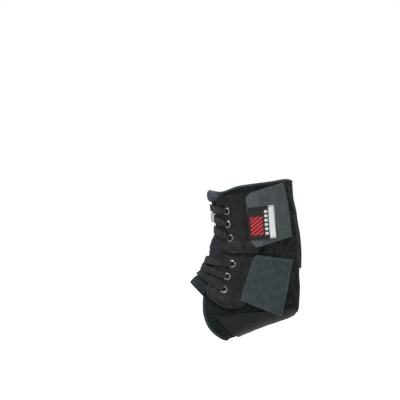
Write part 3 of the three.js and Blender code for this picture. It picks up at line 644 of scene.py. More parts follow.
def braided(tree, vector, per_metre):
    x, y, _ = scaled_parts(tree, vector, per_metre)
    across = calc(tree, "ABSOLUTE", y)
    strand = ridge(tree, calc(tree, "ADD", x, across))
    cross = ridge(tree, times(tree, calc(tree, "SUBTRACT", x, across), 2))
    return weighted(tree, strand, 0.8, cross, 0.2)


def rubbed(tree, vector, per_metre):
    patch = mapped(tree, noise(tree, vector, per_metre, 4, 0.6), 0.32, 0.72, interpolation_type="SMOOTHSTEP")
    speck = mapped(tree, noise(tree, vector, 1400, 2), 0.45, 0.7)
    return weighted(tree, patch, 0.65, speck, 0.35)


PLAIN_WEAVE = effect("plain weave", "Threads per metre", 1500, plain_weave)
RIBS = effect("ribbed tape", "Ribs per metre", 900,
              wandering_ribs(bends=90, detail=2, reach=1.4, crosswise=1.7, share=0.75))
CORDS = effect("corded tape", "Cords per metre", 420,
               wandering_ribs(bends=60, detail=3, reach=2.2, crosswise=3.1, share=0.85))
GRAIN = effect("pebbled grain", "Pebbles per metre", 900, pebbled)
LOOPS = effect("loop pile", "Loops per metre", 800, looped)
BRAID = effect("flat braid", "Strands per metre", 550, braided)
RUBBED = effect("rubbed patches", "Patches per metre", 45, rubbed, "Rubbed")


def tone(red, green, blue):
    """Linear colour from a tone read on a 0 to 255 scale."""
    levels = [c / 255 for c in (red, green, blue)]
    return tuple(c / 12.92 if c <= 0.04045 else ((c + 0.055) / 1.055) ** 2.4 for c in levels) + (1,)


def surface(name, roughness, sheen=0.0, metallic=0.0, specular=0.5):
    """A material with its shader, and its coordinates on the object and along the flat cloth."""
    material = bpy.data.materials.new(name)
    material.use_nodes = True
    tree = material.node_tree
    tree.nodes.clear()
    shader = add(tree, "ShaderNodeBsdfPrincipled", {
        "Roughness": roughness, "Sheen Weight": sheen, "Sheen Roughness": 0.4, "Metallic": metallic,
        "Specular IOR Level": specular})
    end = tree.nodes.new("ShaderNodeOutputMaterial")
    tree.links.new(shader.outputs[0], end.inputs["Surface"])
    places = add(tree, "ShaderNodeTexCoord")
    return material, tree, shader, places.outputs["Object"], places.outputs["UV"]


def use(tree, group, vector, per_metre):
    return add(tree, "ShaderNodeGroup", {0: vector, 1: per_metre}, node_tree=group).outputs[0]


def mixed(tree, factor, one, other):
    return add(tree, "ShaderNodeMix", {0: factor, 6: one, 7: other}, data_type="RGBA").outputs[2]


def tinted(tree, factor, dark, light):
    return mixed(tree, factor, tone(*dark), tone(*light))


def finished(material, tree, shader, height, depth, **inputs):
    """The material with its relief, and its shader's other inputs."""
    bump = add(tree, "ShaderNodeBump", {"Height": height, "Distance": depth * MM, "Strength": 1.0})
    feed(tree, shader, {"Normal": bump.outputs[0]})
    feed(tree, shader, {key.replace("_", " "): value for key, value in inputs.items()})
    return material


def cloth(name, dark, light, relief, amount, depth, roughness, sheen=0.05, flat=True, patches=110,
          specular=0.15):
    """Cloth whose relief is one of the groups, darker between its threads and lighter where it is rubbed."""
    material, tree, shader, on_object, on_cloth = surface(name, roughness, sheen, specular=specular)
    height = use(tree, relief, on_cloth if flat else on_object, amount)
    worn = use(tree, RUBBED, on_object, patches)
    share = mapped(tree, weighted(tree, height, 0.7, worn, 0.4), 0.25, 0.95)
    return finished(material, tree, shader, height, depth, Base_Color=tinted(tree, share, dark, light),
                    Roughness=mapped(tree, worn, to_low=roughness + 0.06, to_high=roughness - 0.1))


def neoprene_and_loops():
    """Jersey-faced neoprene in front, and the pile that the straps grip behind."""
    material, tree, shader, on_object, _ = surface("neoprene face", 0.9, 0.05, specular=0.12)
    pile = mapped(tree, scaled_parts(tree, on_object, MM_PER_METRE)[0], 1.5, 2.5)
    jersey, loops = use(tree, PLAIN_WEAVE, on_object, 1100), use(tree, LOOPS, on_object, 420)
    worn = use(tree, RUBBED, on_object, 170)
    face = tinted(tree, weighted(tree, jersey, 0.4, worn, 0.6), (5, 9, 10), (34, 42, 44))
    matted = mapped(tree, weighted(tree, loops, 0.6, worn, 0.6), 0.35, 1.1)
    tufts = tinted(tree, matted, (4, 5, 5), (56, 61, 59))
    height = add(tree, "ShaderNodeMix", {0: pile, 2: times(tree, jersey, 0.35), 3: loops}).outputs[0]
    return finished(material, tree, shader, height, 0.35, Base_Color=mixed(tree, pile, face, tufts))


def rim_tape_and_lip():
    """Binding tape round the rim that turns into the stretch cloth of the rolled lip."""
    material, tree, shader, on_object, on_cloth = surface("rim tape", 0.8, 0.1, specular=0.2)
    lip = add(tree, "ShaderNodeAttribute", attribute_name="lip").outputs["Fac"]
    ribs, knit = use(tree, RIBS, on_cloth, 800), use(tree, PLAIN_WEAVE, on_object, 1200)
    worn = use(tree, RUBBED, on_object, 60)
    tape = tinted(tree, weighted(tree, ribs, 0.5, worn, 0.5), *BINDING_TONES)
    blue = tinted(tree, weighted(tree, knit, 0.35, worn, 0.65), (20, 26, 33), (70, 80, 91))
    height = add(tree, "ShaderNodeMix", {0: lip, 2: ribs, 3: times(tree, knit, 0.5)}).outputs[0]
    return finished(material, tree, shader, height, 0.2, Base_Color=mixed(tree, lip, tape, blue))


def between(tree, value, low, high, soft=0.25):
    """1 where value lies between low and high."""
    rise, fall = (mapped(tree, value, edge - soft, edge + soft) for edge in (low, high))
    return calc(tree, "SUBTRACT", rise, fall)


def sewn_label_cloth():
    """Black woven patch with slanting stripes, a column of dashes and a pale band along its rear edge."""
    material, tree, shader, _, on_cloth = surface("patch", 0.6, 0.1, specular=0.4)
    across, down, _ = scaled_parts(tree, on_cloth, MM_PER_METRE)
    weave = use(tree, PLAIN_WEAVE, on_cloth, 1700)
    slant = calc(tree, "FRACT", times(tree, calc(tree, "ADD", down, times(tree, across, 0.7)), 0.24))
    field = times(tree, between(tree, across, -13.5, 0.2), between(tree, down, -7, 13.2))
    stripe = times(tree, field, between(tree, slant, 0.25, 0.75, 0.06))
    rows = calc(tree, "FRACT", times(tree, down, 0.21))
    column = times(tree, between(tree, across, 2.4, 6.4), between(tree, down, -15, 15))
    dash = times(tree, column, between(tree, rows, 0.2, 0.8, 0.06))
    light = calc(tree, "MAXIMUM", between(tree, across, 7.8, 15.2, 0.2), dash)
    ground = mixed(tree, stripe, tinted(tree, weave, (14, 14, 15), (30, 30, 31)), tone(226, 44, 54))
    pale = tinted(tree, weave, (212, 216, 217), (240, 242, 243))
    return finished(material, tree, shader, weave, 0.12, Base_Color=mixed(tree, light, ground, pale))


def rolled_nickel():
    """Nickel eyelets, duller where they are worn."""
    material, tree, shader, on_object, _ = surface("nickel", 0.3, metallic=1.0)
    worn = use(tree, RUBBED, on_object, 700)
    return finished(material, tree, shader, worn, 0.03,
                    Roughness=mapped(tree, worn, to_low=0.22, to_high=0.45),
                    Base_Color=tinted(tree, worn, (160, 160, 156), (58, 58, 56)))


BINDING_TONES = (14, 22, 23), (66, 79, 81)
neoprene_face = neoprene_and_loops()
rim_cloth = rim_tape_and_lip()
patch_cloth = sewn_label_cloth()
nickel = rolled_nickel()
tongue_cloth = cloth("tongue stretch cloth", (13, 18, 24), (46, 54, 63), PLAIN_WEAVE, 1200, 0.12, 0.8,
                     flat=False)
tongue_tape_cloth = cloth("tongue tape", (12, 15, 16), (46, 51, 54), RIBS, 800, 0.2, 0.8)
binding_cloth = cloth("binding tape", *BINDING_TONES, RIBS, 800, 0.2, 0.8)
vinyl = cloth("pebbled vinyl", (4, 5, 4), (36, 38, 36), GRAIN, 800, 0.35, 0.55, 0, flat=False, patches=150,
              specular=0.25)
smooth_vinyl = cloth("smooth vinyl", (7, 10, 9), (32, 37, 36), GRAIN, 1500, 0.08, 0.5, 0, flat=False,
                     specular=0.25)
# The two strap tapes are one cloth: the lower tape's darker tones are painted shade, where less light falls
# on the lower strap.
upper_hook_tape = cloth("upper strap tape", (54, 61, 62), (90, 98, 99), RIBS, 620, 0.3, 0.85, patches=150)
lower_hook_tape_painted_shade = cloth("lower strap tape in painted shade", (38, 46, 47), (68, 78, 79), CORDS, 420, 0.35, 0.85, patches=150)
lace_braid = cloth("lace braid", (4, 5, 4), (56, 59, 56), BRAID, 520, 0.4, 0.75, patches=120)
# Pale satin: its pale tones are a painted highlight, standing for the light that the laces catch where they
# cross the front.
satin_painted_highlight = cloth("satin ribbon", (128, 130, 128), (214, 215, 212), RIBS, 1200, 0.1, 0.4, 0, patches=200,
              specular=0.5)
dark_thread = cloth("dark thread", (5, 6, 6), (26, 28, 28), RIBS, 2500, 0.05, 0.6, flat=False)
grey_thread = cloth("grey thread", (64, 72, 72), (128, 137, 137), RIBS, 2500, 0.05, 0.6, flat=False)


# Base layer

def settled(r, t, sides, ends):
    """Grid between two side edges read by v and two end edges read by a."""
    v = lerp(1.0, 9.0, r)
    for _ in range(24):
        first, last = sides(v)
        a = lerp(first, last, t)
        start, stop = ends(a)
        v = lerp(v, lerp(start, stop, r), 0.7)
    return v, a


def grid(rows, columns):
    return np.meshgrid(np.linspace(0, 1, rows + 1), np.linspace(0, 1, columns + 1), indexing="ij")


def quarter(side, name):
    under = HALF_TURN - SEAM_GAP
    behind = lambda v: np.where(v > heel_bottom, under, np.minimum(rear_seam(v), under))
    v, a = settled(*grid(120, 64), lambda v: (front_seam(v) + SEAM_GAP, behind(v)),
                   lambda a: (rim(a) + OVERLAP, foot(a) - OVERLAP))
    return wall(name, v, side * a, -NEOPRENE, 0, neoprene_face)


def back_panel():
    v, a = settled(*grid(70, 30), lambda v: (rear_seam(v), FULL_TURN - rear_seam(v)),
                   lambda a: (rim(near_angle(a)) + OVERLAP, heel_top))
    return wall("heel_tendon_panel", v, a, -NEOPRENE, 0, neoprene_face)


def swell_at(v):
    heights, swells = np.array(TONGUE_SWELL)[::-1].T
    return np.interp(section_ends(v)[1] / BRACE_HEIGHT, heights, swells) * TONGUE


def crown(t):
    return np.cos(HALF_TURN / 2 * (2 * t - 1)) ** 4


def tongue():
    r, t = grid(110, 56)
    v, a = settled(r, t, lambda v: (-front_seam(v) + 0.005, front_seam(v) - 0.005),
                   lambda a: (rim(near_angle(a)) + OVERLAP, tongue_foot(near_angle(a)) - OVERLAP))
    swell = swell_at(v) * crown(t)
    crease = 0.35 * crown(t) * np.sin(v * 9 + 3 * np.cos(a * 2)) * np.sin(v * 3.1 + 1)
    return wall("tongue_pad", v, a, swell / 2 - TONGUE, swell + crease, tongue_cloth)


# Bindings

def top_binding():
    a = np.linspace(0, FULL_TURN, 420, endpoint=False)
    share = lip_share(a)
    roll = share * np.sin(near_angle(a) * 11 + 0.8) * np.sin(a * 3 + 0.5)
    tilt = share * (LIP_DROP + LIP_TILT * np.sin(a * 1.6)) / SECTION_PITCH
    rounded = HALF_TURN - np.hypot(HALF_TURN - near_angle(a), REAR_ROUNDING)
    piece = skin_sweep("rim_binding_and_lip", rim(rounded) + tilt, a, WALL_MIDDLE + LIP_STANDOFF * share,
                       lerp(BINDING_WIDTH, LIP_HEIGHT, share) / 2 * (1 + 0.03 * roll),
                       lerp(BINDING_THICKNESS, LIP_THICKNESS, share) / 2 * (1 + 0.08 * roll),
                       rim_cloth, ring=True, corners=28, boxy=0.95)
    blue = piece.data.attributes.new("lip", "FLOAT", "POINT")
    blue.data.foreach_set("value", np.repeat(smooth(share * 1.6), 28))
    return piece


def heel_path():
    """The near seam from the rim to the heel, then the far one."""
    keep = (rear_v > rim(rear_a[0]) + 0.12) & (rear_a < HALF_TURN - 0.02)
    v, a = rear_v[keep], rear_a[keep]
    return (np.concatenate([v, [heel_bottom], v[::-1]]),
            np.concatenate([a, [HALF_TURN], FULL_TURN - a[::-1]]))


def evened(points, up, spacing):
    """The same line with its points a set distance apart."""
    length = run_length(points)
    at = np.linspace(0, length[-1], max(2, int(length[-1] / spacing)) + 1)
    resample = lambda table: np.stack([np.interp(at, length, table[:, k]) for k in range(3)], 1)
    return resample(points), unit(resample(up))


def heel_binding():
    v, a = heel_path()
    points, up = evened(off_skin(v, a, WALL_MIDDLE), skin_normal(v, a), 1.2)
    return sweep("heel_opening_binding", points, up, HEEL_BINDING_WIDTH / 2, BINDING_THICKNESS / 2,
                 binding_cloth, corners=20, boxy=0.8)


def heel_top_binding():
    seam = float(rear_seam(heel_top))
    a = np.linspace(seam, FULL_TURN - seam, 40)
    return skin_sweep("heel_top_tape", heel_top, a, WALL_MIDDLE, BINDING_WIDTH / 2,
                      BINDING_THICKNESS / 2 - 0.7, binding_cloth, corners=18, boxy=0.8)


def foot_path(count=260):
    start = foot_a[0] + (BINDING_WIDTH / 2 + CLEARANCE) / per_turn(foot_v[0], foot_a[0])
    a = np.linspace(start, FULL_TURN - start, count)
    return foot(near_angle(a)), a


def foot_binding():
    v, a = foot_path()
    return skin_sweep("foot_edge_tape", v, a, WALL_MIDDLE, BINDING_WIDTH / 2, BINDING_THICKNESS / 2,
                      binding_cloth, corners=18, boxy=0.8)


def tongue_binding():
    reach = tongue_a[-1] - CLEARANCE / per_turn(tongue_v[-1], tongue_a[-1])
    a = np.linspace(-reach, reach, 110)
    t = np.linspace(0, 1, 110)
    height = swell_at(np.array(LAST_SECTION)) * crown(t) * 0.75 - TONGUE / 2
    return skin_sweep("tongue_tape", tongue_foot(near_angle(a)), a, height, TAPE_WIDTH / 2,
                      TAPE_THICKNESS / 2, tongue_tape_cloth, corners=22, boxy=0.75)


# Panels over the skin

def panel_point(rows, r, t):
    front_x, front_z, rear_x, rear_z = columns_at(rows, r * (len(rows) - 1))
    return lerp(front_x, rear_x, t), lerp(front_z, rear_z, t)


def lap_step(z):
    """The upper flap's step up onto the lower one."""
    top = LOWER_FLAP[0][1] * BRACE_HEIGHT + LAP_MARGIN
    return (FLAP + 2.5 * CLEARANCE) * smooth((top + LAP_RAMP - z * BRACE_HEIGHT) / LAP_RAMP)


def flap_height(rows, z, t):
    raised, step = (UPPER_FLAP_RAISED, lap_step(z)) if rows is UPPER_FLAP else (LOWER_FLAP_RAISED, 0)
    return lerp(LACE_ROOM, CLEARANCE, smooth((t - raised) / FLAP_RAMP)) + step


def eyelet_places(lacing):
    places = []
    for x, z, *_ in lacing:
        v, a = from_side(x, z)
        places.append({"v": v, "a": a, "foot": off_skin(v, a, 0), "up": skin_normal(v, a)})
    return places


def turned_edge(rows, x, z):
    """Rise of the folded edge of a flap, with the groove of its seam."""
    loop, part = outline(rows, 0, 200)
    loop = loop[part != 2]
    away = np.array([np.sqrt(((loop - p) ** 2).sum(1).min()) for p in in_mm(x, z).reshape(-1, 2)])
    from_seam = away.reshape(x.shape) - EDGE_SEAM
    return FOLD_RISE * (1 - smooth((from_seam + 0.6) / 0.9)) - SEAM_DEPTH * np.exp(-(from_seam / 0.55) ** 2)


def puckers(x, z, t):
    """Slanting creases where the lace pulls a flap forward."""
    across, up = x * BRACE_DEPTH, z * BRACE_HEIGHT
    wave = np.sin((0.55 * across + 1.5 * up) / 2.4 + 0.8 * np.sin(up / 5.3))
    wave = wave * (0.6 + 0.4 * np.sin(across / 4.7 + up / 9))
    return PUCKER_HEIGHT * wave * smooth(t / 0.08) * smooth((0.6 - t) / 0.3)


def fold_groove(rows, x, z):
    """Groove of the seam that holds the strap's root to the upper flap."""
    if rows is not UPPER_FLAP:
        return 0
    (top_x, top_z), (foot_x, foot_z) = ROOT_SEAM
    down = (top_z - z) / (top_z - foot_z)
    away = (x - lerp(top_x, foot_x, down)) * BRACE_DEPTH
    return ROOT_DEPTH * np.exp(-(away / 0.75) ** 2) * smooth((down + 0.1) / 0.1) * smooth((1.1 - down) / 0.1)


def flap(rows, lacing, side, name):
    """A lacing flap with its turned edge, pierced for its eyelets."""
    r, t = grid(112, 84)
    x, z = panel_point(rows, r, t)
    inner = flap_height(rows, z, t)
    relief = turned_edge(rows, x, z) - fold_groove(rows, x, z) + puckers(x, z, t)
    v, a = from_side(x, z)
    middle = off_skin(v, a, inner)
    middle = (middle[1:, 1:] + middle[:-1, :-1]) / 2
    keep = np.ones(middle.shape[:2], bool)
    for place_of in eyelet_places(lacing):
        away = middle - place_of["foot"]
        away = away - (away @ place_of["up"])[..., None] * place_of["up"]
        keep &= np.linalg.norm(away, axis=-1) > EYELET_BORE / 2 + EYELET_WALL + 0.4
    return wall(name, v, side * a, inner, inner + FLAP + relief, vinyl, keep=keep, edge=0.55)


def strap_height(x, z, flap_rows, below):
    flap_end = max(row[2] for row in flap_rows) * BRACE_DEPTH
    step = lap_step(z) * smooth((STEP_END - x) / STEP_FADE) if flap_rows is UPPER_FLAP else 0
    return lerp(OVER_FLAP, below, smooth((x * BRACE_DEPTH - flap_end - STRAP_REST) / STRAP_RAMP)) + step


def dimple(x, z):
    """Soft dent above the patch, where the strap is pulled down."""
    across, up = (x - DIMPLE_PLACE[0]) * BRACE_DEPTH, (z - DIMPLE_PLACE[1]) * BRACE_HEIGHT
    return DIMPLE_DEPTH * np.exp(-(across / 3.4) ** 2 - (up / 2.8) ** 2)


def strap(rows, flap_rows, below, side, name, finish):
    r, t = grid(84, 60)
    x, z = panel_point(rows, r, t)
    inner = strap_height(x, z, flap_rows, below) - dimple(x, z)
    v, a = from_side(x, z)
    return wall(name, v, side * a, inner, inner + STRAP, finish, edge=0.35)


def label():
    r, t = grid(48, 44)
    x, z = panel_point(LABEL, r, t)
    inner = strap_height(x, z, UPPER_FLAP, CLEARANCE)
    v, a = from_side(x, z)
    lower = inner + STRAP + 0.5 * CLEARANCE
    return wall("sewn_patch", v, a, lower, lower + PATCH + CLEARANCE, patch_cloth, edge=0.3)


def stirrup_line(r, share):
    """Sections and angles on the stirrup's near half, from its top edge at 0 to the sole's middle at 1."""
    top_x, top_z, sole_z = columns_at(STIRRUP_ROWS, r * (len(STIRRUP_ROWS) - 1))
    top_v, top_a = from_side(top_x, top_z)
    sole = section_where(lambda v: section_ends(v)[3] - sole_z * BRACE_HEIGHT, r.shape)
    return lerp(top_v, sole, share), lerp(top_a, HALF_TURN, share)


def stirrup():
    r, t = grid(60, 130)
    v, a = stirrup_line(r, 1 - np.abs(2 * t - 1))
    return wall("arch_stirrup", v, np.where(t <= 0.5, a, FULL_TURN - a), STIRRUP_REST, STIRRUP_REST + STIRRUP,
                smooth_vinyl, edge=0.4)


# Eyelets and laces

def eyelet(place_of, name):
    """A rolled metal ring with its barrel through the flap."""
    bore, outer = EYELET_BORE / 2, EYELET_OUTER / 2
    barrel = bore + EYELET_WALL
    profile = np.array([
        (bore, -FLAP - 0.1), (barrel, -FLAP - 0.1), (barrel, 0.1), (outer - 0.15, 0.12),
        (outer, 0.3), (outer - 0.1, 0.52), (outer - 0.45, 0.82), (outer - 1.0, 1.06),
        (barrel + 0.1, 1.1), (bore + 0.25, 0.95), (bore + 0.05, 0.65), (bore, 0.2),
    ])
    count, corners = 44, len(profile)
    turn = np.linspace(0, FULL_TURN, count, endpoint=False)
    up = place_of["up"]
    east = unit(np.cross(up, (0, 0, 1)))
    north = np.cross(up, east)
    outward = np.cos(turn)[:, None] * east + np.sin(turn)[:, None] * north
    shell = (place_of["foot"] + up * FLAP_TOP + outward[:, None] * profile[None, :, :1]
             + up * profile[None, :, 1:])
    faces = tube_faces(count, corners, ring=True)
    return place(make_mesh(name, shell.reshape(-1, 3), faces, np.zeros((len(faces), 4, 2))), nickel)


def mirrored_place(place_of):
    return {key: place_of[key] * OTHER_SIDE for key in ("foot", "up")}


def front_section(z):
    """The section whose front end is at that share of the height."""
    return section_where(lambda v: section_ends(v)[1] - z * BRACE_HEIGHT)


def lace_frames(lacing, flap_rows):
    """Points, upward ways, half widths and half thicknesses along a lace, from the near top bar by bar."""
    places = eyelet_places(lacing)
    width, thick = LACE_WIDTH / 2, LACE_THICKNESS / 2
    pinch = (EYELET_BORE / 2 - CLEARANCE) / 2
    turn_radius = pinch * 1.6
    on_top = FLAP_TOP + 2 * CLEARANCE + EYELET_FLANGE + thick
    below = CLEARANCE + thick

    def level_way(place_of, target):
        way = target - place_of["foot"]
        return unit(way - way @ place_of["up"] * place_of["up"])

    def crossing(k):
        v, a = places[k]["v"], places[k]["a"]
        middle = front_section(lacing[k][2])
        reach = a - LACE_WIDTH / per_turn(v, a)
        cross_z = (lacing[k][1] + lacing[k][2]) / 2
        row = solve(lambda r: panel_point(flap_rows, r, 0)[1] - cross_z, np.array(0.0), np.array(1.0))
        edge = from_side(*panel_point(flap_rows, row, 0))[1] / a - CLEARANCE / per_turn(v, a)
        at = lerp(reach, -reach, np.linspace(0, 1, 25))
        share = np.abs(at) / a
        over_edge = FLAP_TOP + 1.2 * CLEARANCE + thick
        outside = lerp(over_edge, on_top, smooth((share - edge) * a / (reach - edge * a)))
        inside = lerp(lacing[k][3] * LACE_THICKNESS, over_edge, smooth(share / edge))
        section = lerp(middle, v, share ** 1.4)
        points = off_skin(section, at, np.where(share > edge, outside, inside))
        return [(p, n, width, thick) for p, n in zip(points, skin_normal(section, at))]

    def dive(place_of, bar_way, link_way):
        """From the bar above the flap down through an eyelet to the link under it."""
        base, up = place_of["foot"], place_of["up"]
        turns = [(math.sin(turn), math.cos(turn)) for turn in (0, 0.5, 1.0, HALF_TURN / 2)]
        frames = [(base + bar_way * LACE_SHOULDER + up * on_top, up, width * 0.85, thick)]
        for s, c in turns:
            frames.append((base + bar_way * turn_radius * (1 - s) + up * (on_top - turn_radius * (1 - c)),
                           up * c - bar_way * s, pinch * lerp(1.4, 1, s), pinch * lerp(0.8, 1, s)))
        for s, c in turns:
            frames.append((base + link_way * turn_radius * (1 - c) + up * (below + turn_radius * (1 - s)),
                           link_way * c + up * s, pinch * lerp(1, 1.4, s), lerp(pinch, thick, s)))
        return frames

    flipped = lambda frames: [(p * OTHER_SIDE, n * OTHER_SIDE, w, h) for p, n, w, h in frames]
    backwards = lambda frames: frames[::-1]
    tail_way = lambda k: level_way(places[k], off_skin(places[k]["v"], places[k]["a"] + 0.2, 0))
    link_way = lambda k, m: level_way(places[k], places[m]["foot"])

    def bar(k, near_way, far_way):
        opened = crossing(k)
        bar_way = level_way(places[k], opened[0][0])
        near_dive, far_dive = (dive(places[k], bar_way, way) for way in (near_way, far_way))
        return backwards(near_dive) + opened + flipped(far_dive)

    def link(k):
        v, a = (places[k]["v"] + places[k + 1]["v"]) / 2, (places[k]["a"] + places[k + 1]["a"]) / 2
        return [(off_skin(v, a, below), skin_normal(v, a), width, thick)]

    def tail(k):
        v, a = places[k]["v"], places[k]["a"]
        ends = [a + LACE_TUCKED_END * share / per_turn(v, a) for share in (0.6, 1)]
        return [(off_skin(v, at, below), skin_normal(v, at), width, thick) for at in ends]

    frames = (backwards(tail(0)) + bar(0, tail_way(0), link_way(0, 1)) + flipped(link(0))
              + backwards(bar(1, link_way(1, 2), link_way(1, 0))) + link(1)
              + bar(2, link_way(2, 1), tail_way(2)) + flipped(tail(2)))
    return [np.array(column) for column in zip(*frames)]


def lace(lacing, flap_rows, name):
    points, up, half_width, half_up = lace_frames(lacing, flap_rows)
    at = np.linspace(0, len(points) - 1, (len(points) - 1) * 4 + 1)
    finer = lambda table: np.stack([row_at(table[:, k], at) for k in range(3)], 1)
    even = lambda column: np.interp(at, np.arange(len(column)), column)
    return sweep(name, finer(points), unit(finer(up)), even(half_width) * LACE_FULLNESS, even(half_up),
                 lace_braid, corners=14, boxy=0.4)


def lace_keeper():
    """Satin ribbon sewn to the tongue above and below the second lace, which runs under it; its pale tones
    are a painted highlight of the laces crossing the front.
    """
    x, z, middle_z, _ = UPPER_LACING[1]
    eyelet_v, eyelet_a = from_side(x, z)
    middle = front_section(middle_z)
    r, t = grid(30, 40)
    a = KEEPER_REACH * (2 * t - 1)
    v = lerp(middle, eyelet_v, np.abs(a / eyelet_a) ** 1.4) + (r - 0.55) * KEEPER_LENGTH / SECTION_PITCH
    pad = swell_at(v) * crown((a / front_seam(v) + 1) / 2) + CLEARANCE
    over_lace = FLAP_TOP + LACE_THICKNESS + 2.5 * CLEARANCE
    height = lerp(pad, over_lace, smooth((0.5 - np.abs(r - 0.5)) / 0.17))
    return wall("satin_lace_keeper", v, a, height, height + 0.5, satin_painted_highlight, edge=0.2)


# Stitches, laid by Geometry Nodes

def stitch_tree():
    """Lays a rounded thread at each point, along its 'along' attribute and out by its 'up' attribute."""
    tree = bpy.data.node_groups.new("thread row", "GeometryNodeTree")
    socket = tree.interface.new_socket
    socket(name="Points", in_out="INPUT", socket_type="NodeSocketGeometry")
    for size in ("Stitch Length", "Thread Width", "Thread Height"):
        socket(name=size, in_out="INPUT", socket_type="NodeSocketFloat")
    for other, kind in (("Seed", "Int"), ("Thread", "Material")):
        socket(name=other, in_out="INPUT", socket_type=f"NodeSocket{kind}")
    socket(name="Stitches", in_out="OUTPUT", socket_type="NodeSocketGeometry")
    given = tree.nodes.new("NodeGroupInput").outputs
    step = lambda kind, inputs, **settings: add(tree, kind, inputs, **settings).outputs[0]
    sphere = step("GeometryNodeMeshUVSphere", {"Segments": 6, "Rings": 5, "Radius": 0.5})
    size = step("ShaderNodeCombineXYZ", {0: given["Stitch Length"], 1: given["Thread Width"],
                                         2: given["Thread Height"]})
    shaped = step("GeometryNodeTransform", {"Geometry": sphere, "Scale": size})
    rounded = step("GeometryNodeSetShadeSmooth", {"Geometry": shaped})
    along, up = (step("GeometryNodeInputNamedAttribute", {"Name": name}, data_type="FLOAT_VECTOR")
                 for name in ("along", "up"))
    ahead = step("FunctionNodeAlignRotationToVector", {"Vector": along}, axis="X")
    stood = step("FunctionNodeAlignRotationToVector", {"Rotation": ahead, "Vector": up}, axis="Z",
                 pivot_axis="X")
    uneven = step("FunctionNodeRandomValue", {"Min": (0.9, 0.85, 0.85), "Max": (1.08, 1.15, 1.1),
                                              "Seed": given["Seed"]}, data_type="FLOAT_VECTOR")
    laid = step("GeometryNodeInstanceOnPoints", {"Points": given["Points"], "Instance": rounded,
                                                 "Rotation": stood, "Scale": uneven})
    real = step("GeometryNodeRealizeInstances", {"Geometry": laid})
    coloured = step("GeometryNodeSetMaterial", {"Geometry": real, "Material": given["Thread"]})
    tree.links.new(coloured, tree.nodes.new("NodeGroupOutput").inputs[0])
    return tree


def laid_on(piece, points, normals):
    """Points dropped onto a piece's outer face along the skin's normals."""
    mesh = piece.data
    tree = BVHTree.FromPolygons([x.co for x in mesh.vertices], [p.vertices for p in mesh.polygons])
    found = []
    for p, n in zip(points * MM, normals):
        hit = tree.ray_cast(Vector(p + n * 0.02), Vector(-n), 0.04)[0]
        if hit is not None:
            found.append((np.array(hit) / MM, n))
    return found


def seam_stitches(piece, v, a, pitch=STITCH_PITCH):
    """Places of stitches along a line of the skin, on a piece's face: points, ways along, ways up."""
    points, up = evened(skin(v, a), skin_normal(v, a), pitch)
    found = laid_on(piece, points, up)
    if len(found) < 2:
        return []
    points = np.array([p for p, _ in found])
    along = unit(np.gradient(points, axis=0))
    return list(zip(points, along, [n for _, n in found]))


def sew(name, places, length, width, height, thread, seed):
    """One piece of thread for a list of stitch places."""
    points, along, up = (np.array(column) for column in zip(*places))
    mesh = bpy.data.meshes.new(name)
    mesh.from_pydata((points * MM).tolist(), [], [])
    for key, values in (("along", along), ("up", up)):
        mesh.attributes.new(key, "FLOAT_VECTOR", "POINT").data.foreach_set("vector", values.ravel())
    piece = put(name, mesh)
    modifier = piece.modifiers.new("thread", "NODES")
    modifier.node_group = THREAD_ROW
    sizes = {"Stitch Length": length * MM, "Thread Width": width * MM, "Thread Height": height * MM,
             "Seed": seed, "Thread": thread}
    for item in THREAD_ROW.interface.items_tree:
        if item.in_out == "INPUT" and item.name in sizes:
            modifier[item.identifier] = sizes[item.name]
    return applied(piece)


def outline(rows, inset, steps=90):
    """A panel's outline in millimetres, drawn in from its edge, and its parts: front, bottom, rear, top."""
    along = np.linspace(0, 1, steps)
    low, high = np.zeros(steps), np.ones(steps)
    corners = (along, low), (high, along), (along[::-1], high), (low, along[::-1])
    loop, part = [], []
    for k, (r, t) in enumerate(corners):
        loop.append(in_mm(*panel_point(rows, r, t))[:-1])
        part += [k] * (steps - 1)
    loop, part = np.concatenate(loop), np.array(part)
    ahead = unit(np.roll(loop, -1, 0) - np.roll(loop, 1, 0))
    middle = loop.mean(0)
    sideways = np.stack([-ahead[:, 1], ahead[:, 0]], 1)
    if ((middle - loop) * sideways).sum() < 0:
        sideways = -sideways
    drawn = loop + sideways * inset
    clear = np.array([np.linalg.norm(loop - p, axis=1).min() for p in drawn]) >= inset * 0.96
    return drawn[clear], part[clear]


def panel_stitches(piece, rows, inset, parts, side, pitch=STITCH_PITCH):
    """Stitches round the named parts of a panel's outline: 0 front, 1 bottom, 2 rear, 3 top."""
    drawn, part = outline(rows, inset)
    places = []
    for k in parts:
        line = drawn[part == k]
        if len(line) > 2:
            v, a = on_skin(line)
            places += seam_stitches(piece, v, side * a, pitch)
    return places


def bar_tack(piece, x, z, side, length=6.0, rows=7):
    """A short block of close crosswise stitches, a little off upright."""
    way = unit(np.array((0.2, -1.0)))
    cross = np.array((-way[1], way[0]))
    places = []
    for k in np.linspace(-0.5, 0.5, rows):
        v, a = on_skin(in_mm(x, z) + way * length * k + cross * np.linspace(-1.1, 1.1, 3)[:, None])
        places += seam_stitches(piece, v, side * a, 1.1)[1:2]
    return places


# Assembly

THREAD_ROW = stitch_tree()


def dress(piece, slot, *nodes):
    """The piece stands for the named solids, which it hides, and hangs from the root body. slot is not used.
    """
    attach(piece, "root")
    if nodes:
        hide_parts(*nodes)
    return piece


def cut_cloth(piece):
    """Drops the flat size stored on a panel."""
    del piece["cut"]


dark_seams, grey_seams = [], []

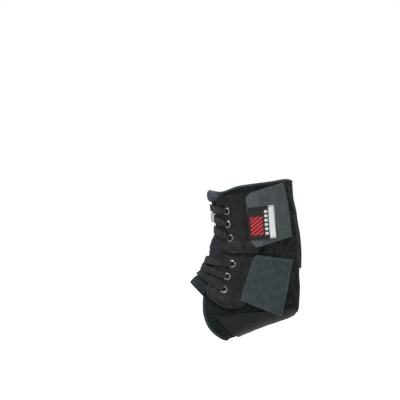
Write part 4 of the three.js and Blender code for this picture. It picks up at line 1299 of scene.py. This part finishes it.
for side, end in ((1, "near"), (-1, "far")):
    panel = dress(quarter(side, f"side_panel_{end}"), "neoprene", f"quarter_{end}")
    cut_cloth(panel)

    upper = dress(flap(UPPER_FLAP, UPPER_LACING, side, f"upper_lacing_flap_{end}"),
                  "vinyl", f"flap_upper_{end}")
    lower = dress(flap(LOWER_FLAP, LOWER_LACING, side, f"lower_lacing_flap_{end}"),
                  "vinyl", f"flap_lower_{end}")
    over_upper = dress(
        strap(UPPER_STRAP, UPPER_FLAP, CLEARANCE, side, f"upper_strap_tab_{end}", upper_hook_tape),
        "hook_tape", f"strap_upper_{end}")
    over_lower = dress(
        strap(LOWER_STRAP, LOWER_FLAP, OVER_STIRRUP, side, f"lower_strap_tab_{end}", lower_hook_tape_painted_shade),
        "hook_tape", f"strap_lower_{end}")

    for piece, rows, parts in ((upper, UPPER_FLAP, (3, 0, 1)), (lower, LOWER_FLAP, (0, 1))):
        dark_seams += panel_stitches(piece, rows, EDGE_SEAM, parts, side)
    for piece, rows in ((over_upper, UPPER_STRAP), (over_lower, LOWER_STRAP)):
        grey_seams += panel_stitches(piece, rows, STRAP_SEAM, (0, 1, 2, 3), side, pitch=2.8)

    v, a = from_side(*(lerp(top, bottom, np.linspace(0, 1, 40)) for top, bottom in zip(*ROOT_SEAM)))
    dark_seams += seam_stitches(upper, v, side * a, pitch=2.6)
    for x, z in (ROOT_SEAM[0], LOWER_TACK):
        dark_seams += bar_tack(upper, x, z, side)

    supports = (upper, f"flap_lower_{end}"), (lower, panel), (over_upper, upper), (over_lower, lower)
    for piece, under in supports:
        cut_cloth(piece)

    for level, lacing in (("upper", UPPER_LACING), ("lower", LOWER_LACING)):
        for k, place_of in enumerate(eyelet_places(lacing), 1):
            spot = place_of if side > 0 else mirrored_place(place_of)
            dress(eyelet(spot, f"{level}_ring_{end}_{k}"), "metal", f"eyelet_{level}_{end}_{k}")

rear = dress(back_panel(), "neoprene", "back_panel")
cut_cloth(rear)

pad = dress(tongue(), "stretch", "tongue")
del pad["cut"]
cut_cloth(dress(lace_keeper(), "stretch"))

rim_roll = dress(top_binding(), "binding_tape", "top_binding")
heel_edge = dress(heel_binding(), "binding_tape", "heel_binding")
dress(heel_top_binding(), "binding_tape", "heel_top_binding")
foot_edge = dress(foot_binding(), "binding_tape", "foot_binding")
dress(tongue_binding(), "stretch", "tongue_binding")

arch = dress(stirrup(), "smooth_vinyl", "stirrup")
patch = dress(label(), "patch", "label")
dark_seams += panel_stitches(patch, LABEL, PATCH_SEAM, (0, 1, 2, 3), 1, pitch=2.0)
cut_cloth(patch)

for lacing, rows, level in ((UPPER_LACING, UPPER_FLAP, "upper"), (LOWER_LACING, LOWER_FLAP, "lower")):
    dress(lace(lacing, rows, f"{level}_lacing"), "lace_cloth", f"lace_{level}")


# Stitches along the bindings and the stirrup

around = np.linspace(0, FULL_TURN, 600)[60:540]
dark_seams += seam_stitches(rim_roll, rim(near_angle(around)) + 0.05, around)
foot_line, foot_around = foot_path(400)
dark_seams += seam_stitches(foot_edge, foot_line - 0.09, foot_around)
heel_line, heel_around = heel_path()
aside = np.where(heel_around < HALF_TURN, -0.03, 0.03)
dark_seams += seam_stitches(heel_edge, heel_line, heel_around + aside)

low, across, high = np.full(90, 0.03), np.linspace(0.03, 0.97, 90), np.full(90, 0.965)
down = np.linspace(0.05, 1, 90)
for side in (1, -1):
    for r, share in ((across, np.full(90, 0.06)), (high, down), (low, down)):
        v, a = stirrup_line(r, share)
        dark_seams += seam_stitches(arch, v, side * a)
cut_cloth(arch)

dark = sew("dark_stitching", dark_seams, length=2.4, width=0.75, height=0.42, thread=dark_thread, seed=3)
grey = sew("grey_stitching", grey_seams, length=2.1, width=0.45, height=0.36, thread=grey_thread, seed=5)
dress(dark, "binding_tape")
dress(grey, "hook_tape")


# Light and floor

def soft_light(name, location, size, power):
    """An area light that aims at the origin."""
    data = bpy.data.lights.new(name, "AREA")
    data.size = size
    data.energy = power
    lamp = put(name, data)
    lamp.location = location
    lamp.rotation_euler = (-Vector(location)).to_track_quat("-Z", "Y").to_euler()


soft_light("key light", (-0.8, -0.9, 1.3), size=0.5, power=22)
soft_light("fill light", (0.9, -1.2, 0.3), size=1.2, power=3.5)
soft_light("back light", (0.4, 1.2, 1.0), size=0.9, power=9)

world = bpy.data.worlds.new("white studio")
bpy.context.scene.world = world
world.use_nodes = True
tree = world.node_tree
seen = add(tree, "ShaderNodeLightPath").outputs["Is Camera Ray"]
feed(tree, tree.nodes["Background"], {"Color": (1, 1, 1, 1),
                                      "Strength": mapped(tree, seen, to_low=0.45, to_high=1.0)})
bpy.context.scene.view_settings.view_transform = "Standard"

floor_mesh = bpy.data.meshes.new("floor")
floor_level, reach = -0.32, 6
corners = (-reach, -reach), (reach, -reach), (reach, reach), (-reach, reach)
floor_mesh.from_pydata([(x, y, floor_level) for x, y in corners], [], [(0, 1, 2, 3)])
floor_paint = bpy.data.materials.new("floor paint")
floor_paint.use_nodes = True
tree = floor_paint.node_tree
seen = add(tree, "ShaderNodeLightPath").outputs["Is Camera Ray"]
feed(tree, tree.nodes["Principled BSDF"], {
    "Base Color": (0.8, 0.8, 0.8, 1), "Roughness": 0.9,
    "Emission Color": (1, 1, 1, 1), "Emission Strength": times(tree, seen, 0.9)})
place(floor_mesh, floor_paint)

bpy.context.view_layer.update()
